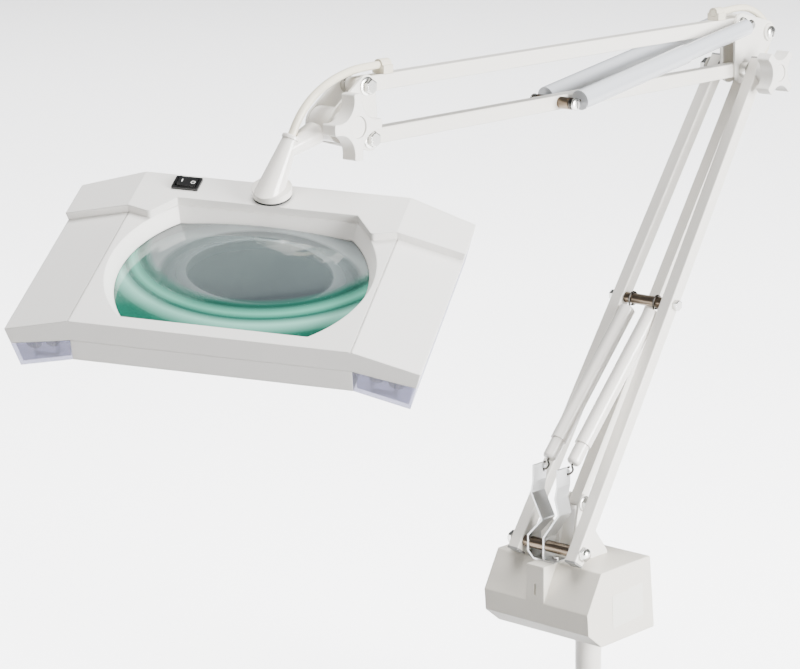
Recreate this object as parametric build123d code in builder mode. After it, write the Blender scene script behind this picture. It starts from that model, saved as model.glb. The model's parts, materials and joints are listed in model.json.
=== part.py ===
"""Magnifying lamp on a double-link spring arm.

Units are millimetres. The origin is the centre of the post's lower end, +Z is up, -X is the way the
upper arm reaches, and every arm pivot runs along Y. The arm hangs in the plane y = 0. Left is +Y.
"""
import os
from math import atan2, cos, hypot, pi, radians, sin, sqrt, tan

from build123d import *

os.makedirs("parts", exist_ok=True)

# ------------------------------------------------------------------ driving dimensions
# fits
RUN_FIT = 0.05          # radial clearance of a pivot
SEAT_FIT = 0.1          # clearance of a piece that sits in a pocket
SIDE_GAP = 0.3          # side clearance between a link and its bracket plate

# post and base housing
POST_R = 11.0
POST_WALL = 1.5
POST_EXPOSED = 100.0    # length of post below the housing
POST_GAP = 0.5
PIN_R = 6.0
PIN_RISE = 28.0         # length of the swivel pin inside the housing
PLUG_DEPTH = 20.0
HOUSING_W = 109.0
HOUSING_H = 62.5
HOUSING_BACK = 18.5     # behind the post's axis, at the bottom
HOUSING_TOP_BACK = 12.0
HOUSING_TOP_FRONT = -52.0
HOUSING_FOLD = (-69.5, 31.5)
HOUSING_LIP = (-68.0, 13.5)
HOUSING_BOTTOM_FRONT = -51.0
HOUSING_WALL = 2.5
COVER_THICK = 3.0
BOSS_W = 18.0
BUSH_WALL = 2.0
SOCKET_WALL = 2.5
GLAND_R = 7.0

# arm tubes and pivots
TUBE = 11.5             # outer side of the square tubes
TUBE_WALL = 1.0
TUBE_CORNER = 1.2
TUBE_OVER = 9.0         # length of a lower-arm tube beyond its pivots
PIVOT_X = -52.0         # base pivot
PIVOT_RISE = 12.5       # base pivot above the housing
LOWER_LENGTH = 443.0
LOWER_LEAN = 34.3       # from upright, leaning back
BASE_HALF_SPREAD = 30.0
ELBOW_HALF_SPREAD = 20.8
UPPER_LENGTH = 466.0
UPPER_SLOPE = 0.8       # below level, towards the head
LINK = (-3.2, 38.6)     # from a lower-bar pivot to the top-bar pivot
REAR_LINK = (36.0, 29.0)  # from a lower-arm pivot to the rear-bar pivot
REAR_W = 10.5
REAR_DEPTH = 8.4
CHANNEL_WALL = 1.2
PLATE = 2.0             # bracket plate
BASE_BOLT_R = 3.5
ELBOW_BOLT_R = 4.0
LINK_BOLT_R = 3.0

# lower springs
CROSSBAR_AT = 222.8     # along the lower arm
CROSSBAR_R = 4.5
CROSSBAR_BOLT_R = 2.5
SLEEVE_R = 6.9
SLEEVE_Y = 12.6
SLEEVE_LENGTH = 132.0
SLEEVE_START = 10.0     # from the crossbar
CUP_LENGTH = 26.0
ANCHOR_HOOK = (8.0, 61.0)  # from the base pivot to the springs' lower hooks
HOOK_EDGE = 5.5         # sheet above the hook's hole
CUP_GAP = 9.8           # from a cup's end to the hook's hole
ANCHOR_SHEET = 1.6
ANCHOR_W = 16.0

# upper springs
SPRING_PIN_AT = 243.0   # along the upper arm from the elbow
SPRING_PIN_R = 3.0
SPRING_PIN_REACH = 23.0
COVER_R = 8.0
COVER_WALL = 1.0
COVER_SLOT = 5.0        # slot along a cover's underside
COVER_Y = 17.5
COVER_LOWER = 148.0
COVER_UPPER = 84.0

# head bracket, knuckle and neck
KNUCKLE_OFFSET = (-30.5, 13.5)  # from the lower bar's head pivot
KNUCKLE_R = 12.5
KNUCKLE_W = 18.4
STUD_R = 3.0
KNOB_R = 24.0
ELBOW_KNOB_R = 21.5
KNOB_THICK = 12.5
KNOB_RECESS = 1.2
ELBOW_KNOB_TURN = 45.0
HORN_DROP = 17.8        # neck's horn below level
HORN_START = 14.5       # from the knuckle's axis
HORN_LENGTH = 45.5      # from the knuckle's axis to the neck's pipe
HORN_R = 9.2            # at the knuckle
HORN_END_R = 6.0        # at the pipe
NECK_FOOT = (-56.35, 2.55, -38.82)  # from the knuckle to the collar's top
NECK_RIM = (-38.2, -4.2)  # from the knuckle to the rim that the cable leaves by
NECK_FOOT_R = 9.8
NECK_NARROW_R = 5.4
NECK_RIM_R = 6.5
NECK_BORE = 5.0
NECK_BORE_DEPTH = 14.0
NECK_THREAD_R = 7.9
HEAD_PITCH = 19.67      # the head leans back by this
HEAD_ROLL = 14.8
HEAD_TURN = 31.27       # about its own upright
CABLE_R = 3.0
CABLE_HOLE_R = 3.7
CABLE_HOLE_ABOVE = 8.0  # clears the horn beside the rim

# head
COLLAR_R = 14.3
COLLAR_H = 7.0
COLLAR_AT = 82.0        # behind the lens centre
HEAD_HALF = 97.2        # half width of the centre panel
HEAD_FRONT = -77.7
HEAD_REAR = 95.7
HEAD_UPPER = 16.0       # depth of the upper shell
HEAD_LOWER = 16.0
HEAD_WALL = 2.5
WING = 47.8
WING_DROP = 15.0
WING_SEAM = 12.0        # depth of the upper shell at a wing's end
WING_DEPTH = 30.6       # depth of the corner lens there
WING_REAR = 89.0
RAISE = 6.0             # height of the raised rear
RAISE_FRONT = 53.0      # where the wings' raised rear starts
RIM_MARGIN = 4.3        # from the lens opening to the centre panel's edge
RIM_HALF = 66.4         # lens opening: straight edges
FUNNEL_DEPTH = 11.0
FUNNEL_SLOPE = 28.0
LENS_SAG = 10.0
LENS_EDGE = 3.0
TUBE_LAMP_R = 6.0
TUBE_LAMP_LENGTH = 128.0
TUBE_LAMP_PITCH = 14.0
TUBE_LAMP_DEPTH = 16.0  # below the wing's top
SWITCH_AT = (-63.6, 85.0)
SWITCH_SIZE = (19.5, 13.0)
ROCKER_TILT = 7.0
ROCKER_L = 15.0
ROCKER_W = 9.6

# ------------------------------------------------------------------ frames worked out from them
Y = Vector(0, 1, 0)
HOUSING_TOP = POST_EXPOSED + HOUSING_H
BASE_PIVOT = Vector(PIVOT_X, 0, HOUSING_TOP + PIVOT_RISE)
LOWER_DIR = Vector(sin(radians(LOWER_LEAN)), 0, cos(radians(LOWER_LEAN)))
ELBOW = BASE_PIVOT + LOWER_DIR * LOWER_LENGTH
UPPER_DIR = Vector(-cos(radians(UPPER_SLOPE)), 0, -sin(radians(UPPER_SLOPE)))
HEAD_PIVOT = ELBOW + UPPER_DIR * UPPER_LENGTH
LINK_V = Vector(LINK[0], 0, LINK[1])
REAR_V = Vector(REAR_LINK[0], 0, REAR_LINK[1])
KNUCKLE = HEAD_PIVOT + Vector(KNUCKLE_OFFSET[0], 0, KNUCKLE_OFFSET[1])
CROSSBAR = BASE_PIVOT + LOWER_DIR * CROSSBAR_AT
ANCHOR = BASE_PIVOT + Vector(ANCHOR_HOOK[0], 0, ANCHOR_HOOK[1])
SPRING_PIN = ELBOW + UPPER_DIR * SPRING_PIN_AT

HORN_DIR = Vector(-cos(radians(HORN_DROP)), 0, -sin(radians(HORN_DROP)))
COLLAR_TOP = KNUCKLE + Vector(*NECK_FOOT)
RIM = KNUCKLE + Vector(NECK_RIM[0], 0, NECK_RIM[1])
PIPE_DIR = (RIM - COLLAR_TOP).normalized()
HEAD_UP = Vector(0, 0, 1).rotate(Axis.X, HEAD_ROLL).rotate(Axis.Y, -HEAD_PITCH)
HEAD_BACK = Vector(1, 0, 0) - HEAD_UP * HEAD_UP.X
HEAD_BACK = HEAD_BACK.normalized().rotate(Axis((0, 0, 0), tuple(HEAD_UP)), HEAD_TURN)
HEAD_ORIGIN = COLLAR_TOP - HEAD_UP * (RAISE + COLLAR_H) - HEAD_BACK * COLLAR_AT
HEAD = Plane(origin=HEAD_ORIGIN, x_dir=HEAD_BACK.cross(HEAD_UP), z_dir=HEAD_UP)


def at_y(y):
    """Side-view plane: local x is X, local y is Z, and an extrusion runs towards -Y."""
    return Plane.XZ.offset(-y)


def xz(point, dx=0.0, dz=0.0):
    """Side-view coordinates of a point."""
    return (point.X + dx, point.Z + dz)


def across(start, end):
    """Plane across the line from start to end, with local x as near Y as it can be."""
    line = (end - start).normalized()
    return Plane(origin=start, x_dir=Y - line * Y.dot(line), z_dir=line)


def save(part, name):
    """Label a finished piece and write its STEP file."""
    part.label = name
    export_step(part, f"parts/{name}.step")


def ring(y_left, y_right, centre, outer, inner):
    """Sleeve along Y from y_left down to y_right."""
    with BuildPart() as piece:
        with BuildSketch(at_y(y_left)):
            with Locations(xz(centre)):
                Circle(outer)
                Circle(inner, mode=Mode.SUBTRACT)
        extrude(amount=y_left - y_right)
    return piece.part


def through_bolt(centre, radius, y_left, y_right, grip_left, grip_right, head_across):
    """Bolt along Y: shank from y_left to y_right, hex nut left of grip_left, hex head right of grip_right."""
    nut = 0.55 * head_across
    with BuildPart() as piece:
        with BuildSketch(at_y(y_left)):
            with Locations(xz(centre)):
                Circle(radius)
        extrude(amount=y_left - y_right)
        with BuildSketch(at_y(grip_left + nut), at_y(grip_right)):
            with Locations(xz(centre)):
                RegularPolygon(head_across / sqrt(3), 6)
        extrude(amount=nut)
    return piece.part


def square_tube(start, end, width, depth, holes):
    """Square tube from start to end, cross-drilled along Y at each (point, radius) of holes."""
    with BuildPart() as piece:
        with BuildSketch(across(start, end)):
            RectangleRounded(width, depth, TUBE_CORNER)
            Rectangle(width - 2 * TUBE_WALL, depth - 2 * TUBE_WALL, mode=Mode.SUBTRACT)
        extrude(amount=(end - start).length)
        for point, radius in holes:
            with BuildSketch(at_y(0)):
                with Locations(xz(point)):
                    Circle(radius)
            extrude(amount=2 * BASE_HALF_SPREAD, both=True, mode=Mode.SUBTRACT)
    return piece.part


def hull_plate(y_left, thick, lobes, holes):
    """Bracket plate: the hull of its lobes (point, radius), with round holes (point, radius)."""
    with BuildPart() as piece:
        with BuildSketch(at_y(y_left)):
            for point, radius in lobes:
                with Locations(xz(point)):
                    Circle(radius)
            make_hull()
            for point, radius in holes:
                with Locations(xz(point)):
                    Circle(radius, mode=Mode.SUBTRACT)
        extrude(amount=thick)
    return piece.part


def star_knob(centre, y_hub, hub_length, radius, bore_r, turn):
    """Four-armed clamping knob along -Y on a round hub, with a blind bore and a shallow round recess."""
    y_body = y_hub - hub_length
    with BuildPart() as piece:
        with BuildSketch(at_y(y_hub)):
            with Locations(xz(centre)):
                Circle(0.42 * radius)
        extrude(amount=hub_length)
        with BuildSketch(at_y(y_body)):
            with Locations(xz(centre)):
                Circle(radius)
                with PolarLocations(1.15 * radius, 4, start_angle=turn + 45):
                    Circle(0.65 * radius, mode=Mode.SUBTRACT)
        extrude(amount=KNOB_THICK)
        fillet(piece.edges().filter_by(Axis.Y).group_by(SortBy.LENGTH)[-1], 0.06 * radius)
        with BuildSketch(at_y(y_body - KNOB_THICK)):
            with Locations(xz(centre)):
                Circle(0.33 * radius)
        extrude(amount=-KNOB_RECESS, mode=Mode.SUBTRACT)
        with BuildSketch(at_y(y_hub)):
            with Locations(xz(centre)):
                Circle(bore_r)
        extrude(amount=hub_length + 0.4 * KNOB_THICK, mode=Mode.SUBTRACT)
    return piece.part


def wire_ring(centre, axis, ring_r, wire_r):
    """Closed hook end of a spring: a ring of wire about an axis."""
    plane = Plane(origin=centre, z_dir=axis)
    with BuildPart() as piece:
        with BuildSketch(Plane(origin=centre, x_dir=plane.x_dir, z_dir=plane.y_dir)):
            with Locations((ring_r, 0)):
                Circle(wire_r)
        revolve(axis=Axis(centre, axis))
    return piece.part


def cable(points, name):
    """Cable through side-view points: straight runs joined by tangent arcs, checked by its volume."""
    runs = [hypot(b[0] - a[0], b[1] - a[1]) for a, b in zip(points, points[1:])]
    headings = [atan2(b[1] - a[1], b[0] - a[0]) for a, b in zip(points, points[1:])]
    turns = [abs((b - a + pi) % (2 * pi) - pi) for a, b in zip(headings, headings[1:])]
    bends = [0.45 * min(a, b) / tan(t / 2) for a, b, t in zip(runs, runs[1:], turns)]
    with BuildPart() as piece:
        with BuildLine(at_y(0)) as route:
            FilletPolyline(*points, radius=bends)
        with BuildSketch(route.wire() ^ 0):
            Circle(CABLE_R)
        sweep(path=route.wire())
    expected = pi * CABLE_R**2 * route.wire().length
    print(name, "bend radii", [round(b, 1) for b in bends])
    print(name, "volume over section x length", round(piece.part.volume / expected, 4))
    save(piece.part, name)


def placed(solid, plane):
    """A piece modelled about the origin, moved into a plane's frame."""
    return solid.moved(plane.location)


# ------------------------------------------------------------------ post and base housing
with BuildPart() as post:
    with BuildSketch(Plane.XY):
        Circle(POST_R)
        Circle(POST_R - POST_WALL, mode=Mode.SUBTRACT)
    extrude(amount=POST_EXPOSED - POST_GAP)
save(post.part, "post_tube")

with BuildPart() as post_pin:
    with BuildSketch(Plane.XY.offset(POST_EXPOSED - POST_GAP)):
        Circle(POST_R - POST_WALL - RUN_FIT)
    extrude(amount=-PLUG_DEPTH)
    with BuildSketch(Plane.XY.offset(POST_EXPOSED - POST_GAP)):
        Circle(PIN_R)
    extrude(amount=PIN_RISE + POST_GAP)
save(post_pin.part, "post_pin")

HOUSING_PROFILE = [
    (HOUSING_BOTTOM_FRONT, POST_EXPOSED),
    (HOUSING_BACK, POST_EXPOSED),
    (HOUSING_TOP_BACK, HOUSING_TOP),
    (HOUSING_TOP_FRONT, HOUSING_TOP),
    (HOUSING_FOLD[0], POST_EXPOSED + HOUSING_FOLD[1]),
    (HOUSING_LIP[0], POST_EXPOSED + HOUSING_LIP[1]),
]
BOSS_PROFILE = [
    (HOUSING_FOLD[0], POST_EXPOSED + HOUSING_FOLD[1]),
    (HOUSING_FOLD[0], HOUSING_TOP),
    (HOUSING_TOP_FRONT, HOUSING_TOP),
]
SOCKET_R = PIN_R + RUN_FIT + BUSH_WALL + SEAT_FIT
SOCKET_TOP = POST_EXPOSED + PIN_RISE + BUSH_WALL
OPENING_FRONT = HOUSING_BOTTOM_FRONT + 4.5
OPENING_BACK = HOUSING_BACK - 5.0
OPENING_HALF = HOUSING_W / 2 - 5.0
SCREW_Y = HOUSING_W / 2 - 12.5
BALLAST_Y = HOUSING_W / 2 - 27.5
TERMINAL_Y = 26.5 - HOUSING_W / 2
GLAND_YZ = (24.5 - HOUSING_W / 2, POST_EXPOSED + 16.0)
SCREW_XY = [(x, y) for x in (-38.0, 5.0) for y in (-SCREW_Y, SCREW_Y)]
FEET_XY = [(-48.0, 8.5), (-48.0, -4.0), (-20.0, 14.0), (-20.0, -14.0)]

with BuildPart() as housing:
    with BuildSketch(at_y(HOUSING_W / 2)):
        Polygon(*HOUSING_PROFILE, align=None)
    extrude(amount=HOUSING_W)
    fillet(housing.edges().filter_by(Axis.Y), 1.5)
    with BuildSketch(at_y(BOSS_W / 2)):
        Polygon(*BOSS_PROFILE, align=None)
    extrude(amount=BOSS_W)
    with BuildSketch(at_y(HOUSING_W / 2 - HOUSING_WALL)):
        Polygon(*HOUSING_PROFILE, align=None)
        offset(amount=-HOUSING_WALL, mode=Mode.REPLACE)
    extrude(amount=HOUSING_W - 2 * HOUSING_WALL, mode=Mode.SUBTRACT)
    with BuildSketch(Plane.XY.offset(POST_EXPOSED)):
        with Locations(((OPENING_FRONT + OPENING_BACK) / 2, 0)):
            RectangleRounded(OPENING_BACK - OPENING_FRONT, 2 * OPENING_HALF, 3)
    extrude(amount=HOUSING_WALL + 0.5, mode=Mode.SUBTRACT)
    with BuildSketch(Plane.XY.offset(POST_EXPOSED + COVER_THICK)):
        with Locations(*SCREW_XY):
            Circle(4)
    extrude(amount=HOUSING_H - COVER_THICK - 1)
    with BuildSketch(Plane.XY.offset(POST_EXPOSED + COVER_THICK)):
        with Locations(*SCREW_XY):
            Circle(1.6)
    extrude(amount=16, mode=Mode.SUBTRACT)
    with BuildSketch(Plane.XY.offset(HOUSING_TOP)):
        with Locations(*FEET_XY):
            Circle(1.6)
    extrude(amount=-HOUSING_WALL, mode=Mode.SUBTRACT)
    with BuildSketch(Plane.YZ.offset(HOUSING_FOLD[0])):
        with Locations((0, POST_EXPOSED + 42.0)):
            SlotOverall(10, 2, rotation=90)
    extrude(amount=1.5, mode=Mode.SUBTRACT)
    with BuildSketch(Plane.YZ.offset(HOUSING_BACK)):
        with Locations(GLAND_YZ):
            Circle(GLAND_R - 1.5)
    extrude(amount=-12, mode=Mode.SUBTRACT)
save(housing.part, "housing_shell")

with BuildPart() as bottom_cover:
    with BuildSketch(Plane.XY.offset(POST_EXPOSED)):
        with Locations(((OPENING_FRONT + OPENING_BACK) / 2, 0)):
            RectangleRounded(OPENING_BACK - OPENING_FRONT - 2 * SEAT_FIT, 2 * (OPENING_HALF - SEAT_FIT), 3)
        with Locations(*SCREW_XY):
            Circle(1.7, mode=Mode.SUBTRACT)
    extrude(amount=COVER_THICK)
    with BuildSketch(Plane.XY.offset(POST_EXPOSED)):
        Circle(SOCKET_R + SOCKET_WALL)
    extrude(amount=SOCKET_TOP - POST_EXPOSED + SOCKET_WALL)
    with BuildSketch(Plane.XY.offset(POST_EXPOSED)):
        Circle(SOCKET_R)
    extrude(amount=SOCKET_TOP - POST_EXPOSED, mode=Mode.SUBTRACT)
save(bottom_cover.part, "housing_bottom_cover")

with BuildPart() as swivel_bush:
    with BuildSketch(Plane.XY.offset(POST_EXPOSED)):
        Circle(SOCKET_R - SEAT_FIT)
    extrude(amount=SOCKET_TOP - POST_EXPOSED)
    with BuildSketch(Plane.XY.offset(POST_EXPOSED)):
        Circle(PIN_R + RUN_FIT)
    extrude(amount=PIN_RISE, mode=Mode.SUBTRACT)
save(swivel_bush.part, "swivel_bush")

with BuildPart() as cover_screws:
    with BuildSketch(Plane.XY.offset(POST_EXPOSED)):
        with Locations(*SCREW_XY):
            Circle(1.5)
    extrude(amount=14)
    with BuildSketch(Plane.XY.offset(POST_EXPOSED)):
        with Locations(*SCREW_XY):
            Circle(3)
    extrude(amount=-1.6)
with BuildPart() as ballast_core:
    with BuildSketch(Plane.XY.offset(POST_EXPOSED + COVER_THICK)):
        with Locations((-23, BALLAST_Y)):
            Rectangle(26, 14)
    extrude(amount=4)
    with BuildSketch(Plane.YZ.offset(-40)):
        with Locations((BALLAST_Y, POST_EXPOSED + 27)):
            Rectangle(20, 40)
        with Locations((BALLAST_Y, POST_EXPOSED + 27)):
            Rectangle(8, 26, mode=Mode.SUBTRACT)
    extrude(amount=34)
save(ballast_core.part, "ballast_core")

with BuildPart() as ballast_coil:
    with BuildSketch(Plane.YZ.offset(-36)):
        with Locations((BALLAST_Y, POST_EXPOSED + 27)):
            Rectangle(7.8, 25.8)
    extrude(amount=40)
save(ballast_coil.part, "ballast_coil")

with BuildPart() as terminal_block:
    with BuildSketch(Plane.XY.offset(POST_EXPOSED + COVER_THICK)):
        with Locations((-20, TERMINAL_Y)):
            Rectangle(36, 14)
    extrude(amount=15)
    with BuildSketch(Plane.XY.offset(POST_EXPOSED + COVER_THICK + 15)):
        with GridLocations(9, 1, 4, 1):
            with Locations((-20, TERMINAL_Y)):
                Circle(2.6)
    extrude(amount=-6, mode=Mode.SUBTRACT)
save(terminal_block.part, "terminal_block")

with BuildPart() as label_plate:
    with BuildSketch(at_y(-HOUSING_W / 2)):
        with Locations(Location((-17, POST_EXPOSED + 27, 0), (0, 0, 3))):
            RectangleRounded(40, 28, 1)
    extrude(amount=0.3)
save(label_plate.part, "label_plate")

GLAND_SHARE = (GLAND_YZ[1] - POST_EXPOSED) / HOUSING_H
GLAND_X = HOUSING_BACK - GLAND_SHARE * (HOUSING_BACK - HOUSING_TOP_BACK)
with BuildPart() as cable_gland:
    with BuildSketch(Plane.YZ.offset(GLAND_X + 0.8)):
        with Locations(GLAND_YZ):
            Circle(GLAND_R)
    extrude(amount=6)
    with BuildSketch(Plane.YZ.offset(GLAND_X - 6)):
        with Locations(GLAND_YZ):
            Circle(GLAND_R - 1.6)
    extrude(amount=8)
    with BuildSketch(Plane.YZ.offset(GLAND_X + 6.8)):
        with Locations(GLAND_YZ):
            Circle(CABLE_R + 0.2)
    extrude(amount=-13, mode=Mode.SUBTRACT)
save(cable_gland.part, "cable_gland")

# ------------------------------------------------------------------ base pivot, anchors and rear bracket
TOP = HOUSING_TOP
HALF_SHEET = ANCHOR_SHEET / 2
LEFT_ANCHOR = [
    (3.0, TOP + HALF_SHEET),
    (12.0, TOP + HALF_SHEET),
    (18.0, TOP + 6.5),
    (18.0, TOP + 19.5),
    (3.2, TOP + 35.0),
    (14.6, TOP + 56.0),
    (SLEEVE_Y, ANCHOR.Z - 7.5),
    (SLEEVE_Y, ANCHOR.Z + HOOK_EDGE),
]
RIGHT_ANCHOR = [
    (-9.0, TOP + HALF_SHEET),
    (1.7, TOP + HALF_SHEET),
    (1.7, TOP + 20.0),
    (-14.0, TOP + 41.5),
    (-10.4, TOP + 54.5),
    (-SLEEVE_Y, ANCHOR.Z - 8.5),
    (-SLEEVE_Y, ANCHOR.Z + HOOK_EDGE),
]
HOOK_CORNER = [xz(ANCHOR, -2, 6.7), xz(ANCHOR, 4, 6.7), xz(ANCHOR, 4, 1.5)]


def anchor(points):
    """Bent sheet anchor: its YZ profile, pierced for the base bolt, the spring hook and its foot screw."""
    with BuildPart() as piece:
        with BuildSketch(Plane.YZ.offset(PIVOT_X - 5)):
            with BuildLine():
                FilletPolyline(*points, radius=1.5)
                offset(amount=HALF_SHEET, side=Side.BOTH)
            make_face()
        extrude(amount=ANCHOR_W)
        with BuildSketch(at_y(0)):
            Polygon(*HOOK_CORNER, align=None)
            with Locations(xz(BASE_PIVOT)):
                Circle(BASE_BOLT_R + RUN_FIT)
            with Locations(xz(ANCHOR)):
                Circle(1.7)
        extrude(amount=BASE_HALF_SPREAD, both=True, mode=Mode.SUBTRACT)
        with BuildSketch(Plane.XY.offset(TOP)):
            with Locations(*FEET_XY[:2]):
                Circle(1.7)
        extrude(amount=2 * ANCHOR_SHEET, mode=Mode.SUBTRACT)
    return piece.part


save(Compound([anchor(LEFT_ANCHOR), anchor(RIGHT_ANCHOR)]), "spring_anchors")

with BuildPart() as base_screws:
    with BuildSketch(Plane.XY.offset(TOP + ANCHOR_SHEET)):
        with Locations(*FEET_XY[:2]):
            Circle(3)
    extrude(amount=1.8)
    with BuildSketch(Plane.XY.offset(TOP + PLATE)):
        with Locations(*FEET_XY[2:]):
            Circle(3)
    extrude(amount=1.8)
    with BuildSketch(Plane.XY.offset(TOP + ANCHOR_SHEET)):
        with Locations(*FEET_XY):
            Circle(1.5)
    extrude(amount=-9)
    with BuildSketch(Plane.XY.offset(TOP + PLATE)):
        with Locations(*FEET_XY[2:]):
            Circle(1.5)
    extrude(amount=-1)
save(Compound([cover_screws.part, base_screws.part]), "base_screws")

BAR_HALF = TUBE / 2
BASE_GRIP = BASE_HALF_SPREAD + BAR_HALF + 0.3
save(
    through_bolt(BASE_PIVOT, BASE_BOLT_R, BASE_GRIP + 5, -BASE_GRIP - 1, BASE_GRIP, -BASE_GRIP, 11),
    "base_bolt",
)
spacers = [
    ring(BASE_HALF_SPREAD - BAR_HALF - 0.3, 18 + HALF_SHEET, BASE_PIVOT, 4.8, BASE_BOLT_R + RUN_FIT),
    ring(18 - HALF_SHEET, 1.7 + HALF_SHEET, BASE_PIVOT, 4.8, BASE_BOLT_R + RUN_FIT),
    ring(1.7 - HALF_SHEET, BAR_HALF - BASE_HALF_SPREAD + 0.3, BASE_PIVOT, 4.8, BASE_BOLT_R + RUN_FIT),
]
save(Compound(spacers), "base_bolt_spacers")

REAR_BASE = BASE_PIVOT + REAR_V
REAR_TOP = ELBOW + REAR_V
EAR_IN = BAR_HALF + SIDE_GAP
HUMP = Vector(-30, 0, TOP + 18)
with BuildPart() as rear_bracket:
    with BuildSketch(Plane.XY.offset(TOP)):
        with Locations((-20, 0)):
            Rectangle(32, 45)
        with Locations(*FEET_XY[2:]):
            Circle(1.7, mode=Mode.SUBTRACT)
    extrude(amount=PLATE)
    with BuildSketch(at_y(22.5), at_y(-20.5)):
        with Locations(xz(HUMP)):
            Circle(11)
        with Locations((-34.5, TOP + 1.5), (-5.5, TOP + 1.5)):
            Circle(1.5)
        make_hull()
    extrude(amount=PLATE)
    with BuildSketch(at_y(EAR_IN + PLATE), at_y(-EAR_IN)):
        with Locations(xz(REAR_BASE)):
            Circle(7.5)
        with Locations((-29.5, TOP + 1.5), (-5.5, TOP + 1.5)):
            Circle(1.5)
        make_hull()
    extrude(amount=PLATE)
    with BuildSketch(at_y(EAR_IN + PLATE)):
        with Locations(xz(REAR_BASE)):
            Circle(LINK_BOLT_R + RUN_FIT)
    extrude(amount=2 * (EAR_IN + PLATE), mode=Mode.SUBTRACT)
save(rear_bracket.part, "rear_bracket")

EAR_OUT = EAR_IN + PLATE
save(
    through_bolt(REAR_BASE, LINK_BOLT_R, EAR_OUT + 5.5, -EAR_OUT - 1, EAR_OUT + 0.05, -EAR_OUT - 0.05, 10),
    "rear_bar_lower_bolt",
)

# ------------------------------------------------------------------ lower arm
REACH = LOWER_DIR * TUBE_OVER
SPLAY = (BASE_HALF_SPREAD - ELBOW_HALF_SPREAD) / LOWER_LENGTH * TUBE_OVER
LOW_END = BASE_PIVOT - REACH
HIGH_END = ELBOW + REACH
ARM_HOLES = [
    (BASE_PIVOT, BASE_BOLT_R + RUN_FIT),
    (CROSSBAR, CROSSBAR_BOLT_R + RUN_FIT),
    (ELBOW, ELBOW_BOLT_R + RUN_FIT),
]
caps = []
for name, hand in (("lower_arm_left_bar", 1), ("lower_arm_right_bar", -1)):
    low = LOW_END + Y * hand * (BASE_HALF_SPREAD + SPLAY)
    high = HIGH_END + Y * hand * (ELBOW_HALF_SPREAD - SPLAY)
    save(square_tube(low, high, TUBE, TUBE, ARM_HOLES), name)
    for end, inward in ((low, high), (high, low)):
        with BuildPart() as cap:
            with BuildSketch(across(end, inward)):
                RectangleRounded(TUBE, TUBE, TUBE_CORNER)
            extrude(amount=-1.5)
            with BuildSketch(across(end, inward)):
                Rectangle(TUBE - 2 * TUBE_WALL - 2 * SEAT_FIT, TUBE - 2 * TUBE_WALL - 2 * SEAT_FIT)
            extrude(amount=3)
        caps.append(cap.part)
save(Compound(caps), "lower_arm_end_caps")

CROSS_SHARE = CROSSBAR_AT / LOWER_LENGTH
CROSS_Y = BASE_HALF_SPREAD + (ELBOW_HALF_SPREAD - BASE_HALF_SPREAD) * CROSS_SHARE
CROSS_IN = CROSS_Y - BAR_HALF - 0.12
CROSS_GRIP = CROSS_Y + BAR_HALF + 0.12
save(ring(CROSS_IN, -CROSS_IN, CROSSBAR, CROSSBAR_R, CROSSBAR_BOLT_R + RUN_FIT), "crossbar_tube")
save(
    through_bolt(CROSSBAR, CROSSBAR_BOLT_R, CROSS_GRIP + 5, -CROSS_GRIP - 1, CROSS_GRIP, -CROSS_GRIP, 8),
    "crossbar_bolt",
)

ELBOW_IN = ELBOW_HALF_SPREAD - BAR_HALF - 0.2
ELBOW_GRIP = ELBOW_HALF_SPREAD + BAR_HALF + 0.2
with BuildPart() as elbow_bolt:
    with BuildSketch(at_y(ELBOW_GRIP + 7)):
        with Locations(xz(ELBOW)):
            Circle(ELBOW_BOLT_R)
    extrude(amount=2 * ELBOW_GRIP + 7 + 11)
    with BuildSketch(at_y(ELBOW_GRIP + 6.5)):
        with Locations(xz(ELBOW)):
            RegularPolygon(13 / sqrt(3), 6)
    extrude(amount=6.5)
save(elbow_bolt.part, "elbow_main_bolt")
elbow_rings = [
    ring(ELBOW_IN, EAR_OUT + RUN_FIT, ELBOW, 7, ELBOW_BOLT_R + RUN_FIT),
    ring(-EAR_OUT - RUN_FIT, -ELBOW_IN, ELBOW, 7, ELBOW_BOLT_R + RUN_FIT),
]
save(Compound(elbow_rings), "elbow_spacers")
save(
    star_knob(ELBOW, -ELBOW_GRIP - RUN_FIT, 7, ELBOW_KNOB_R, ELBOW_BOLT_R + RUN_FIT, ELBOW_KNOB_TURN),
    "elbow_knob",
)

# ------------------------------------------------------------------ rear bar
BAR_AXIS = across(REAR_BASE, REAR_TOP)
with BuildPart() as rear_bar:
    with BuildSketch(BAR_AXIS):
        Rectangle(REAR_W, REAR_DEPTH)
    extrude(amount=LOWER_LENGTH)
    with BuildSketch(at_y(REAR_W / 2)):
        with Locations(xz(REAR_BASE), xz(REAR_TOP)):
            Circle(REAR_DEPTH / 2)
    extrude(amount=REAR_W)
    with BuildSketch(Plane(origin=REAR_BASE - LOWER_DIR * 5, x_dir=Y, z_dir=LOWER_DIR)):
        with Locations((0, -CHANNEL_WALL)):
            Rectangle(REAR_W - 2 * CHANNEL_WALL, REAR_DEPTH)
    extrude(amount=LOWER_LENGTH + 10, mode=Mode.SUBTRACT)
    with BuildSketch(at_y(REAR_W / 2)):
        with Locations(xz(REAR_BASE), xz(REAR_TOP)):
            Circle(LINK_BOLT_R + RUN_FIT)
    extrude(amount=REAR_W, mode=Mode.SUBTRACT)
save(rear_bar.part, "rear_bar")

# ------------------------------------------------------------------ lower springs
SPRING_R = 4.6
WIRE_R = 0.9
LOWER_LINE = (ANCHOR - CROSSBAR).normalized()
LOWER_SPAN = (ANCHOR - CROSSBAR).length
CUP_END = LOWER_SPAN - CUP_GAP
HOOK_R = 3.5


def along(start, line, distance, hand, spread):
    """Plane across a spring's axis, a distance along it, on one side of the arm."""
    return Plane(origin=start + line * distance + Y * hand * spread, x_dir=Y, z_dir=line)


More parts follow.
